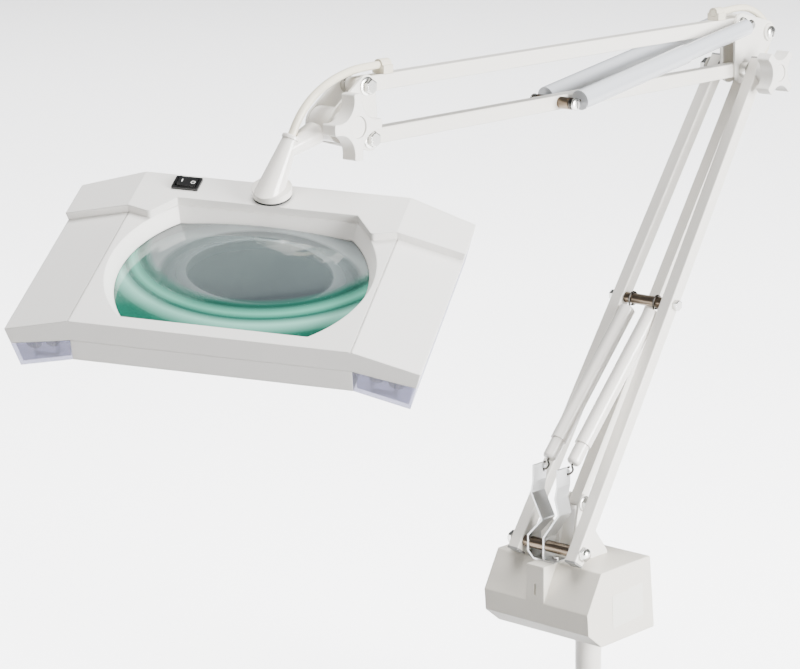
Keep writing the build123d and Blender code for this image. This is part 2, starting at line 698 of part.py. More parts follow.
sleeves, cups, springs = [], [], []
for hand in (1, -1):
    with BuildPart() as sleeve:
        with BuildSketch(along(CROSSBAR, LOWER_LINE, SLEEVE_START, hand, SLEEVE_Y)):
            Circle(SLEEVE_R)
        extrude(amount=SLEEVE_LENGTH)
        chamfer(sleeve.faces().sort_by(Axis(tuple(CROSSBAR), tuple(LOWER_LINE)))[0].edges(), 1)
        with BuildSketch(along(CROSSBAR, LOWER_LINE, SLEEVE_START + 2, hand, SLEEVE_Y)):
            Circle(SLEEVE_R - 1)
        extrude(amount=SLEEVE_LENGTH, mode=Mode.SUBTRACT)
        with BuildSketch(along(CROSSBAR, LOWER_LINE, SLEEVE_START, hand, SLEEVE_Y)):
            Circle(WIRE_R + RUN_FIT)
        extrude(amount=2, mode=Mode.SUBTRACT)
    sleeves.append(sleeve.part)
    with BuildPart() as cup:
        with BuildSketch(along(CROSSBAR, LOWER_LINE, CUP_END, hand, SLEEVE_Y)):
            Circle(SLEEVE_R - 1 - SEAT_FIT)
        extrude(amount=-CUP_LENGTH)
        fillet(cup.faces().sort_by(Axis(tuple(CROSSBAR), tuple(LOWER_LINE)))[-1].edges(), 3)
        with BuildSketch(along(CROSSBAR, LOWER_LINE, CUP_END - CUP_LENGTH, hand, SLEEVE_Y)):
            Circle(SPRING_R + SEAT_FIT)
        extrude(amount=CUP_LENGTH - 3, mode=Mode.SUBTRACT)
        with BuildSketch(along(CROSSBAR, LOWER_LINE, CUP_END, hand, SLEEVE_Y)):
            Circle(WIRE_R + RUN_FIT)
        extrude(amount=-3, mode=Mode.SUBTRACT)
    cups.append(cup.part)
    with BuildPart() as spring:
        with BuildSketch(along(CROSSBAR, LOWER_LINE, SLEEVE_START + 4, hand, SLEEVE_Y)):
            Circle(SPRING_R)
        extrude(amount=CUP_END - SLEEVE_START - 9)
        with BuildSketch(along(CROSSBAR, LOWER_LINE, SLEEVE_START + 5.5, hand, SLEEVE_Y)):
            Circle(SPRING_R - 2 * WIRE_R)
        extrude(amount=CUP_END - SLEEVE_START - 12, mode=Mode.SUBTRACT)
        with BuildSketch(along(CROSSBAR, LOWER_LINE, CROSSBAR_R + 1.0, hand, SLEEVE_Y)):
            Circle(WIRE_R)
        extrude(amount=SLEEVE_START + 4 - CROSSBAR_R)
        with BuildSketch(along(CROSSBAR, LOWER_LINE, LOWER_SPAN - 2 * HOOK_R, hand, SLEEVE_Y)):
            Circle(WIRE_R)
        extrude(amount=-(LOWER_SPAN - 2 * HOOK_R - CUP_END + 6))
        add(wire_ring(CROSSBAR + Y * hand * SLEEVE_Y, Y, CROSSBAR_R + WIRE_R + 0.1, WIRE_R))
        eye = ANCHOR - LOWER_LINE * HOOK_R + Y * hand * SLEEVE_Y
        add(wire_ring(eye, LOWER_LINE.cross(Y), HOOK_R, WIRE_R))
    springs.append(spring.part)
save(Compound(sleeves), "lower_spring_sleeves")
save(Compound(cups), "lower_spring_cups")
save(Compound(springs), "lower_springs")

# ------------------------------------------------------------------ elbow
TOP_AXIS = ELBOW + LINK_V
BOSS_T = 2.0
ELBOW_LOBES = [(ELBOW, 12), (TOP_AXIS, 9.5), (REAR_TOP, 9.5)]
ELBOW_HOLES = [
    (ELBOW, ELBOW_BOLT_R + RUN_FIT),
    (TOP_AXIS, LINK_BOLT_R + RUN_FIT),
    (REAR_TOP, LINK_BOLT_R + RUN_FIT),
]
for name, y_left, boss_y in (
    ("elbow_left_plate", EAR_OUT, EAR_OUT + BOSS_T),
    ("elbow_right_plate", -EAR_IN, -EAR_OUT),
):
    with BuildPart() as plate:
        add(hull_plate(y_left, PLATE, ELBOW_LOBES, ELBOW_HOLES))
        add(ring(boss_y, boss_y - BOSS_T, REAR_TOP, 7.5, LINK_BOLT_R + RUN_FIT))
    save(plate.part, name)

UPPER_PIN_Y = 20.0
with BuildPart() as elbow_pivot_bolts:
    with BuildSketch(at_y(UPPER_PIN_Y)):
        with Locations(xz(TOP_AXIS)):
            Circle(LINK_BOLT_R)
    extrude(amount=2 * UPPER_PIN_Y)
    with BuildSketch(at_y(EAR_OUT + 4), at_y(-EAR_OUT)):
        with Locations(xz(TOP_AXIS)):
            RegularPolygon(10 / sqrt(3), 6)
    extrude(amount=4)
    with BuildSketch(at_y(EAR_OUT + BOSS_T + 5)):
        with Locations(xz(REAR_TOP)):
            Circle(LINK_BOLT_R)
    extrude(amount=2 * (EAR_OUT + BOSS_T) + 5)
    with BuildSketch(at_y(EAR_OUT + BOSS_T + 4)):
        with Locations(xz(REAR_TOP)):
            RegularPolygon(10 / sqrt(3), 6)
    extrude(amount=4)
    with BuildSketch(at_y(-EAR_OUT - BOSS_T)):
        with Locations(xz(REAR_TOP)):
            Circle(5.5)
    extrude(amount=3)
save(elbow_pivot_bolts.part, "elbow_pivot_bolts")

# ------------------------------------------------------------------ upper arm
HEAD_TOP_PIVOT = HEAD_PIVOT + LINK_V
PIN_CLEAR = SPRING_PIN_R + RUN_FIT


def rounded_bar(start, end, holes):
    """Square tube with rounded bushed ends about its pivots."""
    with BuildPart() as piece:
        with BuildSketch(across(start, end)):
            Rectangle(TUBE, TUBE)
        extrude(amount=(end - start).length)
        with BuildSketch(at_y(BAR_HALF)):
            with Locations(xz(start), xz(end)):
                Circle(BAR_HALF)
        extrude(amount=TUBE)
        fillet(piece.edges().filter_by(Axis(tuple(start), tuple(end - start))), TUBE_CORNER)
        with BuildSketch(across(start + (end - start).normalized() * 6, end)):
            Rectangle(TUBE - 2 * TUBE_WALL, TUBE - 2 * TUBE_WALL)
        extrude(amount=(end - start).length - 12, mode=Mode.SUBTRACT)
        for point, radius in holes:
            with BuildSketch(at_y(BAR_HALF)):
                with Locations(xz(point)):
                    Circle(radius)
            extrude(amount=TUBE, mode=Mode.SUBTRACT)
    return piece.part


LOWER_HOLES = [
    (ELBOW, ELBOW_BOLT_R + RUN_FIT),
    (SPRING_PIN, PIN_CLEAR),
    (HEAD_PIVOT, LINK_BOLT_R + RUN_FIT),
]
TOP_HOLES = [(TOP_AXIS, LINK_BOLT_R + RUN_FIT), (HEAD_TOP_PIVOT, LINK_BOLT_R + RUN_FIT)]
save(rounded_bar(ELBOW, HEAD_PIVOT, LOWER_HOLES), "upper_arm_lower_bar")
save(rounded_bar(TOP_AXIS, HEAD_TOP_PIVOT, TOP_HOLES), "upper_arm_top_bar")

with BuildPart() as spring_pin:
    with BuildSketch(at_y(SPRING_PIN_REACH)):
        with Locations(xz(SPRING_PIN)):
            Circle(SPRING_PIN_R)
    extrude(amount=2 * SPRING_PIN_REACH)
    with BuildSketch(at_y(SPRING_PIN_REACH), at_y(-SPRING_PIN_REACH + 2.5)):
        with Locations(xz(SPRING_PIN)):
            Circle(5)
    extrude(amount=2.5)
save(spring_pin.part, "upper_spring_pin")
pin_rings = [
    ring(COVER_Y - 1.1, BAR_HALF + RUN_FIT, SPRING_PIN, 4.8, PIN_CLEAR),
    ring(-BAR_HALF - RUN_FIT, 1.1 - COVER_Y, SPRING_PIN, 4.8, PIN_CLEAR),
]
save(Compound(pin_rings), "upper_pin_spacers")

covers, stages, coils = [], [], []
for hand in (1, -1):
    near = SPRING_PIN + Y * hand * COVER_Y
    far = TOP_AXIS + Y * hand * COVER_Y
    span = (far - near).length
    line = (far - near).normalized()
    for first, length, radius, group in (
        (10, COVER_LOWER - 10, COVER_R, covers),
        (span - 7 - COVER_UPPER - 30, COVER_UPPER + 30, COVER_R - COVER_WALL - SEAT_FIT, stages),
    ):
        plane = across(near + line * first, far)
        with BuildPart() as trough:
            with BuildSketch(plane):
                Circle(radius)
                Circle(radius - COVER_WALL, mode=Mode.SUBTRACT)
                with Locations((0, -radius)):
                    Rectangle(COVER_SLOT, 2 * radius, mode=Mode.SUBTRACT)
            extrude(amount=length)
            if group is covers:
                with BuildSketch(plane):
                    Circle(radius)
                    Circle(WIRE_R + RUN_FIT, mode=Mode.SUBTRACT)
                extrude(amount=COVER_WALL)
        group.append(trough.part)
    with BuildPart() as coil:
        with BuildSketch(across(near + line * 16, far)):
            Circle(SPRING_R)
        extrude(amount=span - 32)
        with BuildSketch(across(near + line * 17.5, far)):
            Circle(SPRING_R - 2 * WIRE_R)
        extrude(amount=span - 35, mode=Mode.SUBTRACT)
        with BuildSketch(across(near + line * 4, far)):
            Circle(WIRE_R)
        extrude(amount=13)
        with BuildSketch(across(far - line * 4, near)):
            Circle(WIRE_R)
        extrude(amount=13)
        add(wire_ring(near, Y, SPRING_PIN_R + WIRE_R + 0.1, WIRE_R))
        add(wire_ring(far, Y, LINK_BOLT_R + WIRE_R + 0.1, WIRE_R))
    coils.append(coil.part)
save(Compound(covers), "upper_cover_fixed")
save(Compound(stages), "upper_cover_sliding")
save(Compound(coils), "upper_springs")

CLIP_R = CABLE_R + 0.2
CLIP_RISE = 12.0        # cable's height above the top bar's axis


def above_top_bar(x):
    """Side-view point of a cable lying in the top bar's clips."""
    return (x, TOP_AXIS.Z + (x - TOP_AXIS.X) * tan(radians(UPPER_SLOPE)) + CLIP_RISE)


clips = []
for foot_x in (ELBOW.X - 34, HEAD_TOP_PIVOT.X + 24):
    deck = TOP_AXIS + (HEAD_TOP_PIVOT - TOP_AXIS) * ((TOP_AXIS.X - foot_x) / (TOP_AXIS.X - HEAD_TOP_PIVOT.X))
    with BuildPart() as clip:
        with BuildSketch(Plane.YZ.offset(foot_x)):
            with Locations((0, deck.Z + BAR_HALF + 3.2)):
                Rectangle(TUBE, 6)
            with Locations((0, deck.Z + CLIP_RISE)):
                Circle(CLIP_R + 1.2)
                Circle(CLIP_R, mode=Mode.SUBTRACT)
        extrude(amount=10)
    clips.append(clip.part)
save(Compound(clips), "top_bar_cable_clips")

# ------------------------------------------------------------------ head bracket
PLATE_IN = 9.5
PLATE_OUT = PLATE_IN + PLATE
BRACKET_LOBES = [(HEAD_PIVOT, 8.5), (HEAD_TOP_PIVOT, 8.5), (KNUCKLE, 13)]
BRACKET_HOLES = [
    (HEAD_PIVOT, LINK_BOLT_R + RUN_FIT),
    (HEAD_TOP_PIVOT, LINK_BOLT_R + RUN_FIT),
    (KNUCKLE, STUD_R + RUN_FIT),
]
bracket_plates = [
    hull_plate(PLATE_OUT, PLATE, BRACKET_LOBES, BRACKET_HOLES),
    hull_plate(-PLATE_IN, PLATE, BRACKET_LOBES, BRACKET_HOLES),
]
save(Compound(bracket_plates), "head_bracket_plates")
with BuildPart() as stud:
    with BuildSketch(at_y(PLATE_OUT + 6)):
        with Locations(xz(KNUCKLE)):
            Circle(STUD_R)
    extrude(amount=2 * PLATE_OUT + 6 + 9)
    with BuildSketch(at_y(PLATE_OUT + 5.5)):
        with Locations(xz(KNUCKLE)):
            RegularPolygon(10 / sqrt(3), 6)
    extrude(amount=5.5)
bracket_bolts = [
    through_bolt(point, LINK_BOLT_R, PLATE_OUT + 6, -PLATE_OUT - 1, PLATE_OUT, -PLATE_OUT, 10)
    for point in (HEAD_PIVOT, HEAD_TOP_PIVOT)
]
save(Compound([stud.part] + bracket_bolts), "head_bracket_bolts")
bracket_rings = [
    ring(left, right, point, 6, LINK_BOLT_R + RUN_FIT)
    for point in (HEAD_PIVOT, HEAD_TOP_PIVOT)
    for left, right in ((PLATE_IN - RUN_FIT, BAR_HALF + RUN_FIT), (-BAR_HALF - RUN_FIT, RUN_FIT - PLATE_IN))
]
save(Compound(bracket_rings), "head_bracket_spacers")
save(star_knob(KNUCKLE, -PLATE_OUT - RUN_FIT, 5, KNOB_R, STUD_R + RUN_FIT, 0), "head_knob")

# ------------------------------------------------------------------ knuckle and neck

def on_horn(distance):
    """Plane across the neck's horn, a distance from the knuckle."""
    return Plane(origin=KNUCKLE + HORN_DIR * distance, x_dir=Y, z_dir=HORN_DIR)


with BuildPart() as knuckle:
    with BuildSketch(at_y(KNUCKLE_W / 2)):
        with Locations(xz(KNUCKLE)):
            Circle(KNUCKLE_R)
    extrude(amount=KNUCKLE_W)
    with BuildSketch(on_horn(0)):
        Circle(NECK_BORE - RUN_FIT)
    extrude(amount=HORN_START + NECK_BORE_DEPTH - 1)
    with BuildSketch(at_y(KNUCKLE_W / 2)):
        with Locations(xz(KNUCKLE)):
            Circle(STUD_R + RUN_FIT)
    extrude(amount=KNUCKLE_W, mode=Mode.SUBTRACT)
save(knuckle.part, "knuckle")

COLLAR = Plane(origin=COLLAR_TOP, z_dir=HEAD_UP)
FLANGE_T = COLLAR_H - 2
LIP_T = 3.0
PIPE_BELOW = 14.0       # the pipe starts this far below the collar's top, where the collar trims it
PIPE_TAPER = (NECK_FOOT_R - NECK_NARROW_R) / (RIM - COLLAR_TOP).length
with BuildPart() as neck:
    with BuildSketch(Plane(origin=COLLAR_TOP - PIPE_DIR * PIPE_BELOW, z_dir=PIPE_DIR)):
        Circle(NECK_FOOT_R + PIPE_TAPER * PIPE_BELOW)
    with BuildSketch(Plane(origin=RIM, z_dir=PIPE_DIR)):
        Circle(NECK_NARROW_R)
    loft()
    with BuildSketch(COLLAR):
        Circle(3 * COLLAR_R)
    extrude(amount=-3 * COLLAR_R, mode=Mode.SUBTRACT)
    with BuildSketch(on_horn(HORN_START)):
        Circle(HORN_R)
    with BuildSketch(on_horn(HORN_LENGTH)):
        Circle(HORN_END_R)
    loft()
    fillet(neck.edges().filter_by(GeomType.CIRCLE).sort_by(Axis.X)[-1], 3)
    with BuildSketch(Plane(origin=RIM, z_dir=PIPE_DIR)):
        Circle(NECK_RIM_R)
    extrude(amount=-LIP_T)
    fillet(neck.edges().filter_by(GeomType.CIRCLE).group_by(Axis.Z)[-1], 1.2)
    with BuildSketch(COLLAR):
        Circle(COLLAR_R)
    extrude(amount=-FLANGE_T)
    with BuildSketch(COLLAR.offset(-FLANGE_T)):
        Circle(NECK_THREAD_R)
    extrude(amount=-14)
    with BuildSketch(on_horn(HORN_START)):
        Circle(NECK_BORE)
    extrude(amount=NECK_BORE_DEPTH, mode=Mode.SUBTRACT)
    with BuildSketch(Plane(origin=RIM + PIPE_DIR * CABLE_HOLE_ABOVE, z_dir=PIPE_DIR)):
        Circle(CABLE_HOLE_R)
    extrude(amount=-CABLE_HOLE_ABOVE - 14, mode=Mode.SUBTRACT)
    with BuildSketch(COLLAR):
        Circle(5)
    extrude(amount=-FLANGE_T - 14, mode=Mode.SUBTRACT)
save(neck.part, "neck_casting")

with BuildPart() as gasket:
    with BuildSketch(COLLAR.offset(-FLANGE_T)):
        Circle(COLLAR_R - 0.5)
        Circle(NECK_THREAD_R + SEAT_FIT, mode=Mode.SUBTRACT)
    extrude(amount=-2 + RUN_FIT)
save(gasket.part, "collar_gasket")
with BuildPart() as neck_nut:
    with BuildSketch(COLLAR.offset(-COLLAR_H - HEAD_WALL - RUN_FIT)):
        RegularPolygon(11, 6)
        Circle(NECK_THREAD_R + RUN_FIT, mode=Mode.SUBTRACT)
    extrude(amount=-5)
save(neck_nut.part, "neck_swivel_nut")

# ------------------------------------------------------------------ cables
HEAD_CABLE = [
    xz(RIM - PIPE_DIR * 6),
    xz(RIM + PIPE_DIR * 2.5),
    xz(KNUCKLE, -31.8, 6.3),
    xz(KNUCKLE, -25.0, 14.0),
    xz(KNUCKLE, -16.6, 20.8),
    xz(KNUCKLE, -6.8, 26.4),
    xz(KNUCKLE, 3.9, 30.9),
    xz(KNUCKLE, 15.5, 34.2),
    xz(HEAD_TOP_PIVOT, 0, 11.3),
    xz(HEAD_TOP_PIVOT, 11.3, 12.1),
    above_top_bar(HEAD_TOP_PIVOT.X + 22.3),
    above_top_bar(HEAD_TOP_PIVOT.X + 33.1),
]
ELBOW_CABLE = [
    above_top_bar(TOP_AXIS.X - 30.9),
    above_top_bar(TOP_AXIS.X - 18.9),
    xz(TOP_AXIS, -6.4, 12.7),
    xz(TOP_AXIS, 6.1, 13.3),
    xz(TOP_AXIS, 17.6, 12.3),
    xz(TOP_AXIS, 27.5, 9.3),
    xz(TOP_AXIS, 36.7, 4.8),
    xz(TOP_AXIS, 45.5, -2.3),
    xz(TOP_AXIS, 49.5, -12.9),
    xz(TOP_AXIS, 47.7, -24.1),
    xz(ELBOW, 37.4, 5.8),
    xz(ELBOW, 26.9, 1.7),
    xz(ELBOW, 17.4, 1.2),
]
cable(HEAD_CABLE, "head_cable")
cable(ELBOW_CABLE, "elbow_cable")

# ------------------------------------------------------------------ head, modelled in its own frame
SEAM = -HEAD_UPPER
BOTTOM = SEAM - HEAD_LOWER
WING_OUT = HEAD_HALF + WING * cos(radians(WING_DROP))
RIM_R = HEAD_HALF - RIM_MARGIN
PLAN_HALF = WING_OUT + 2
FOLD_REAR = HEAD_HALF + 1.8
OUTLINE = [
    (-PLAN_HALF, HEAD_FRONT),
    (PLAN_HALF, HEAD_FRONT),
    (PLAN_HALF, WING_REAR),
    (FOLD_REAR, HEAD_REAR),
    (-FOLD_REAR, HEAD_REAR),
    (-PLAN_HALF, WING_REAR),
]
PLATEAU = [
    (-PLAN_HALF, RAISE_FRONT),
    (-HEAD_HALF, RAISE_FRONT),
    (-80, 48),
    (-65.5, 68),
    (65.5, 68),
    (80, 48),
    (HEAD_HALF, RAISE_FRONT),
    (PLAN_HALF, RAISE_FRONT),
    (PLAN_HALF, WING_REAR),
    (FOLD_REAR, HEAD_REAR),
    (-FOLD_REAR, HEAD_REAR),
    (-PLAN_HALF, WING_REAR),
]


def on_wing(hand, along, depth):
    """Point of a wing's section: along its top from the fold, and square down from it."""
    drop = radians(WING_DROP)
    return (
        hand * (HEAD_HALF + along * cos(drop) - depth * sin(drop)),
        -along * sin(drop) - depth * cos(drop),
    )


def wing_block(outline, section, inset):
    """Block of a wing's or roof's section, cut to a plan outline moved in by inset."""
    with BuildPart() as piece:
        with BuildSketch(at_y(HEAD_REAR + 1)):
            Polygon(*section, align=None)
        extrude(amount=HEAD_REAR - HEAD_FRONT + 2)
        with BuildSketch(Plane.XY.offset(BOTTOM - HEAD_LOWER)):
            Polygon(*outline, align=None)
            offset(amount=-inset, kind=Kind.INTERSECTION, mode=Mode.REPLACE)
        extrude(amount=HEAD_UPPER + 2 * HEAD_LOWER + RAISE, mode=Mode.INTERSECT)
    return piece.part


def roofed(outline, inset, raised):
    """Block under the head's folded roof, with its ends square to the wings, down to the seam."""
    roof = raised - inset
    rise = roof * cos(radians(WING_DROP))
    below = inset / HEAD_WALL
    half = [
        (HEAD_HALF, roof),
        on_wing(1, WING - inset, -rise),
        on_wing(1, WING - inset, WING_SEAM + below),
        (HEAD_HALF, SEAM - below),
    ]
    section = half + [(-x, z) for x, z in reversed(half)]
    return wing_block(outline, section, inset)


def lens_outline(level, grow):
    """Opening outline at a level: a circle cut by two straight edges."""
    with BuildSketch(Plane.XY.offset(level)) as sketch:
        Circle(RIM_R + grow)
        Rectangle(2 * RIM_R + 20, 2 * (RIM_HALF + grow), mode=Mode.INTERSECT)
    return sketch.sketch


FUNNEL_IN = -FUNNEL_DEPTH * tan(radians(FUNNEL_SLOPE))
BOSS_X = HEAD_HALF - 6.7
BOSS_XY = [(-BOSS_X, -71.0), (BOSS_X, -71.0), (-BOSS_X, 88.0), (BOSS_X, 88.0)]
GROOVE = 0.8
SWITCH = Location((SWITCH_AT[0], SWITCH_AT[1], 0))
with BuildPart() as head_upper:
    add(roofed(OUTLINE, 0, 0))
    add(roofed(PLATEAU, 0, RAISE))
    fillet(head_upper.edges().filter_by(Axis.Z).group_by(Axis.Y)[0], 3)
    add(roofed(OUTLINE, HEAD_WALL, 0), mode=Mode.SUBTRACT)
    add(roofed(PLATEAU, HEAD_WALL, RAISE), mode=Mode.SUBTRACT)
    loft([lens_outline(-0.2, 2), lens_outline(-FUNNEL_DEPTH, 2 + FUNNEL_IN)])
    loft([lens_outline(0.5, 0.2), lens_outline(-FUNNEL_DEPTH - 0.5, FUNNEL_IN - 0.2)], mode=Mode.SUBTRACT)
    with BuildSketch(Plane.XY.offset(SEAM)):
        with Locations(*BOSS_XY[:2]):
            Circle(3.6)
    extrude(amount=HEAD_UPPER - 1)
    with BuildSketch(Plane.XY.offset(SEAM)):
        with Locations(*BOSS_XY[2:]):
            Circle(3.6)
    extrude(amount=HEAD_UPPER + RAISE - 1)
    with BuildSketch(Plane.XY.offset(SEAM)):
        with Locations(*BOSS_XY):
            Circle(1.5)
    extrude(amount=10, mode=Mode.SUBTRACT)
    with BuildSketch(at_y(RAISE_FRONT)):
        with Locations((-HEAD_HALF, 0), (HEAD_HALF, 0)):
            Rectangle(GROOVE, 2 * GROOVE)
    extrude(amount=RAISE_FRONT - HEAD_FRONT, mode=Mode.SUBTRACT)
    with BuildSketch(Plane.XY.offset(RAISE)):
        with Locations((0, COLLAR_AT)):
            Circle(NECK_THREAD_R + RUN_FIT)
        with Locations(SWITCH):
            Rectangle(SWITCH_SIZE[0] - 3, SWITCH_SIZE[1] - 2)
    extrude(amount=-HEAD_WALL - 1, mode=Mode.SUBTRACT)
save(placed(head_upper.part, HEAD), "head_upper_shell")

LOW_TOP = SEAM - SEAT_FIT
PANEL_MID = (HEAD_FRONT + HEAD_REAR) / 2
PANEL_DEEP = HEAD_REAR - HEAD_FRONT
with BuildPart() as head_lower:
    with BuildSketch(Plane.XY.offset(BOTTOM)):
        with Locations((0, PANEL_MID)):
            Rectangle(2 * HEAD_HALF, PANEL_DEEP)
    extrude(amount=LOW_TOP - BOTTOM)
    with BuildSketch(Plane.XY.offset(BOTTOM + HEAD_WALL)):
        with Locations((0, PANEL_MID)):
            Rectangle(2 * (HEAD_HALF - HEAD_WALL), PANEL_DEEP - 2 * HEAD_WALL)
    extrude(amount=HEAD_LOWER, mode=Mode.SUBTRACT)
    add(extrude(lens_outline(BOTTOM, -3), amount=HEAD_LOWER - 1.3, mode=Mode.PRIVATE))
    add(extrude(lens_outline(BOTTOM, -5), amount=HEAD_LOWER, mode=Mode.PRIVATE), mode=Mode.SUBTRACT)
    with BuildSketch(Plane.XY.offset(BOTTOM)):
        with Locations(*BOSS_XY):
            Circle(3.6)
    extrude(amount=LOW_TOP - BOTTOM)
    with BuildSketch(Plane.XY.offset(BOTTOM)):
        with Locations(*BOSS_XY):
            Circle(1.6)
    extrude(amount=HEAD_LOWER, mode=Mode.SUBTRACT)
    with BuildSketch(Plane.XY.offset(BOTTOM)):
        with Locations(*BOSS_XY):
            Circle(3)
    extrude(amount=3, mode=Mode.SUBTRACT)
save(placed(head_lower.part, HEAD), "head_lower_shell")

with BuildPart() as head_screws:
    with BuildSketch(Plane.XY.offset(BOTTOM + 1)):
        with Locations(*BOSS_XY):
            Circle(2.8)
    extrude(amount=2)
    with BuildSketch(Plane.XY.offset(BOTTOM + 3)):
        with Locations(*BOSS_XY):
            Circle(1.4)
    extrude(amount=20)
save(placed(head_screws.part, HEAD), "head_screws")

LENS_WALL = 2.0
LENS_INNER = HEAD_HALF + SEAT_FIT
TUBE_FRONT = 56 - TUBE_LAMP_LENGTH
TUBE_ALONG = 27.0       # middle of a tube pair, along the wing
HOLDER = ((12.5, 8.0), (43.0, 8.0), (43.0, 28.3), (12.5, 28.3))
SHEET_TOP = HEAD_WALL + 0.2
SHEET = ((3.0, SHEET_TOP), (41.0, SHEET_TOP), (41.0, SHEET_TOP + 0.6), (3.0, SHEET_TOP + 0.6))
diffusers, tubes, holders, sheets = [], [], [], []
for hand in (1, -1):
    plan = [
        (hand * LENS_INNER, HEAD_FRONT),
        (hand * PLAN_HALF, HEAD_FRONT),
        (hand * PLAN_HALF, WING_REAR),
        (hand * FOLD_REAR, HEAD_REAR),
        (hand * LENS_INNER, HEAD_REAR),
    ]
    outer = [
        (hand * LENS_INNER, LOW_TOP),
        on_wing(hand, WING, WING_SEAM + SEAT_FIT),
        on_wing(hand, WING, WING_DEPTH),
        (hand * LENS_INNER, BOTTOM),
    ]
    inner = [
        (hand * LENS_INNER, LOW_TOP + 2),
        on_wing(hand, WING - LENS_WALL, WING_SEAM - 2),
        on_wing(hand, WING - LENS_WALL, WING_DEPTH - LENS_WALL),
        (hand * LENS_INNER, BOTTOM + LENS_WALL),
    ]
    with BuildPart() as diffuser:
        add(wing_block(plan, outer, 0))
        add(wing_block(plan, inner, LENS_WALL), mode=Mode.SUBTRACT)
    diffusers.append(placed(diffuser.part, HEAD))
    pair = [
        on_wing(hand, TUBE_ALONG + step, TUBE_LAMP_DEPTH)
        for step in (-TUBE_LAMP_PITCH / 2, TUBE_LAMP_PITCH / 2)
    ]
    with BuildPart() as tube_pair:
        with BuildSketch(at_y(56)):
            with Locations(*pair):
                Circle(TUBE_LAMP_R)
                Circle(TUBE_LAMP_R - 1, mode=Mode.SUBTRACT)
        extrude(amount=TUBE_LAMP_LENGTH)
        with BuildSketch(at_y(TUBE_FRONT), at_y(56)):
            with Locations(*pair):
                Circle(TUBE_LAMP_R)
        extrude(amount=1)
        with BuildSketch(at_y(TUBE_FRONT + 12)):
            with Locations(on_wing(hand, TUBE_ALONG, TUBE_LAMP_DEPTH)):
                Rectangle(4, 4)
        extrude(amount=6)
    tubes.append(placed(tube_pair.part, HEAD))
    with BuildPart() as holder:
        with BuildSketch(at_y(81.5)):
            Polygon(*[on_wing(hand, *corner) for corner in HOLDER], align=None)
        extrude(amount=25)
    holders.append(placed(holder.part, HEAD))
    with BuildPart() as sheet:
        with BuildSketch(at_y(50)):
            Polygon(*[on_wing(hand, *corner) for corner in SHEET], align=None)
        extrude(amount=120)
    sheets.append(placed(sheet.part, HEAD))
save(Compound(diffusers), "corner_lenses")
save(Compound(tubes), "fluorescent_tubes")
save(Compound(holders), "lampholders")
save(Compound(sheets), "reflectors")

LENS_R = RIM_R + FUNNEL_IN + 1.2
LENS_HALF = RIM_HALF + FUNNEL_IN - 0.3
LENS_MID = -FUNNEL_DEPTH - SEAT_FIT - LENS_EDGE / 2 - 0.4
BALL_R = (LENS_R**2 + LENS_SAG**2) / (2 * LENS_SAG)
HALF_THICK = LENS_EDGE / 2 + LENS_SAG
with BuildPart() as lens:
    with Locations((0, 0, LENS_MID + HALF_THICK - BALL_R)):
        Sphere(BALL_R)
    with Locations((0, 0, LENS_MID - HALF_THICK + BALL_R)):
        Sphere(BALL_R, mode=Mode.INTERSECT)
    with BuildSketch(Plane.XY.offset(LENS_MID - 20)):
        Circle(LENS_R)
        Rectangle(2 * LENS_R, 2 * LENS_HALF, mode=Mode.INTERSECT)
    extrude(amount=40, mode=Mode.INTERSECT)
save(placed(lens.part, HEAD), "magnifying_lens")

RETAINER = Plane.XY.offset(LENS_MID - LENS_EDGE / 2 - 0.65)
with BuildPart() as retainer:
    with BuildSketch(RETAINER):
        Circle(RIM_R)
        Rectangle(2 * RIM_R, 2 * (LENS_HALF + 4), mode=Mode.INTERSECT)
    extrude(amount=-2)
    with BuildSketch(RETAINER):
        Circle(LENS_R - 2.5)
        Rectangle(2 * LENS_R, 2 * (LENS_HALF + 0.5), mode=Mode.INTERSECT)
    extrude(amount=-2, mode=Mode.SUBTRACT)
save(placed(retainer.part, HEAD), "lens_retainer")

BEZEL_W, BEZEL_D = SWITCH_SIZE[0], SWITCH_SIZE[1] + 1.7
with BuildPart() as bezel:
    with BuildSketch(Plane.XY.offset(RAISE)):
        with Locations(SWITCH):
            RectangleRounded(BEZEL_W, BEZEL_D, 0.8)
    extrude(amount=1.6)
    with BuildSketch(Plane.XY.offset(RAISE)):
        with Locations(SWITCH):
            Rectangle(SWITCH_SIZE[0] - 3 - 2 * SEAT_FIT, SWITCH_SIZE[1] - 2 - 2 * SEAT_FIT)
    extrude(amount=-17)
    with BuildSketch(Plane.XY.offset(RAISE + 1.6)):
        with Locations(SWITCH):
            Rectangle(ROCKER_L + 0.6, ROCKER_W + 0.4)
    extrude(amount=-13, mode=Mode.SUBTRACT)
    with BuildSketch(at_y(SWITCH_AT[1] + 6)):
        with Locations((SWITCH_AT[0], RAISE - 2.5)):
            Circle(1.05)
    extrude(amount=12, mode=Mode.SUBTRACT)
save(placed(bezel.part, HEAD), "switch_bezel")

ROCKER_AXIS = (SWITCH_AT[0], RAISE - 2.5)
with BuildPart() as rocker:
    with BuildSketch(at_y(SWITCH_AT[1] + ROCKER_W / 2)):
        with Locations(Location((*ROCKER_AXIS, 0), (0, 0, -ROCKER_TILT))):
            Polygon(
                (-ROCKER_L / 2 + 0.8, 5.6),
                (0, 4.6),
                (ROCKER_L / 2 - 0.8, 5.6),
                (ROCKER_L / 2 - 0.8, 2.2),
                (2, -3),
                (-2, -3),
                (-ROCKER_L / 2 + 0.8, 2.2),
                align=None,
            )
    extrude(amount=ROCKER_W)
    with BuildSketch(at_y(SWITCH_AT[1] + ROCKER_W / 2 + 0.7)):
        with Locations(ROCKER_AXIS):
            Circle(1)
    extrude(amount=ROCKER_W + 1.4)
save(placed(rocker.part, HEAD), "rocker_switch")

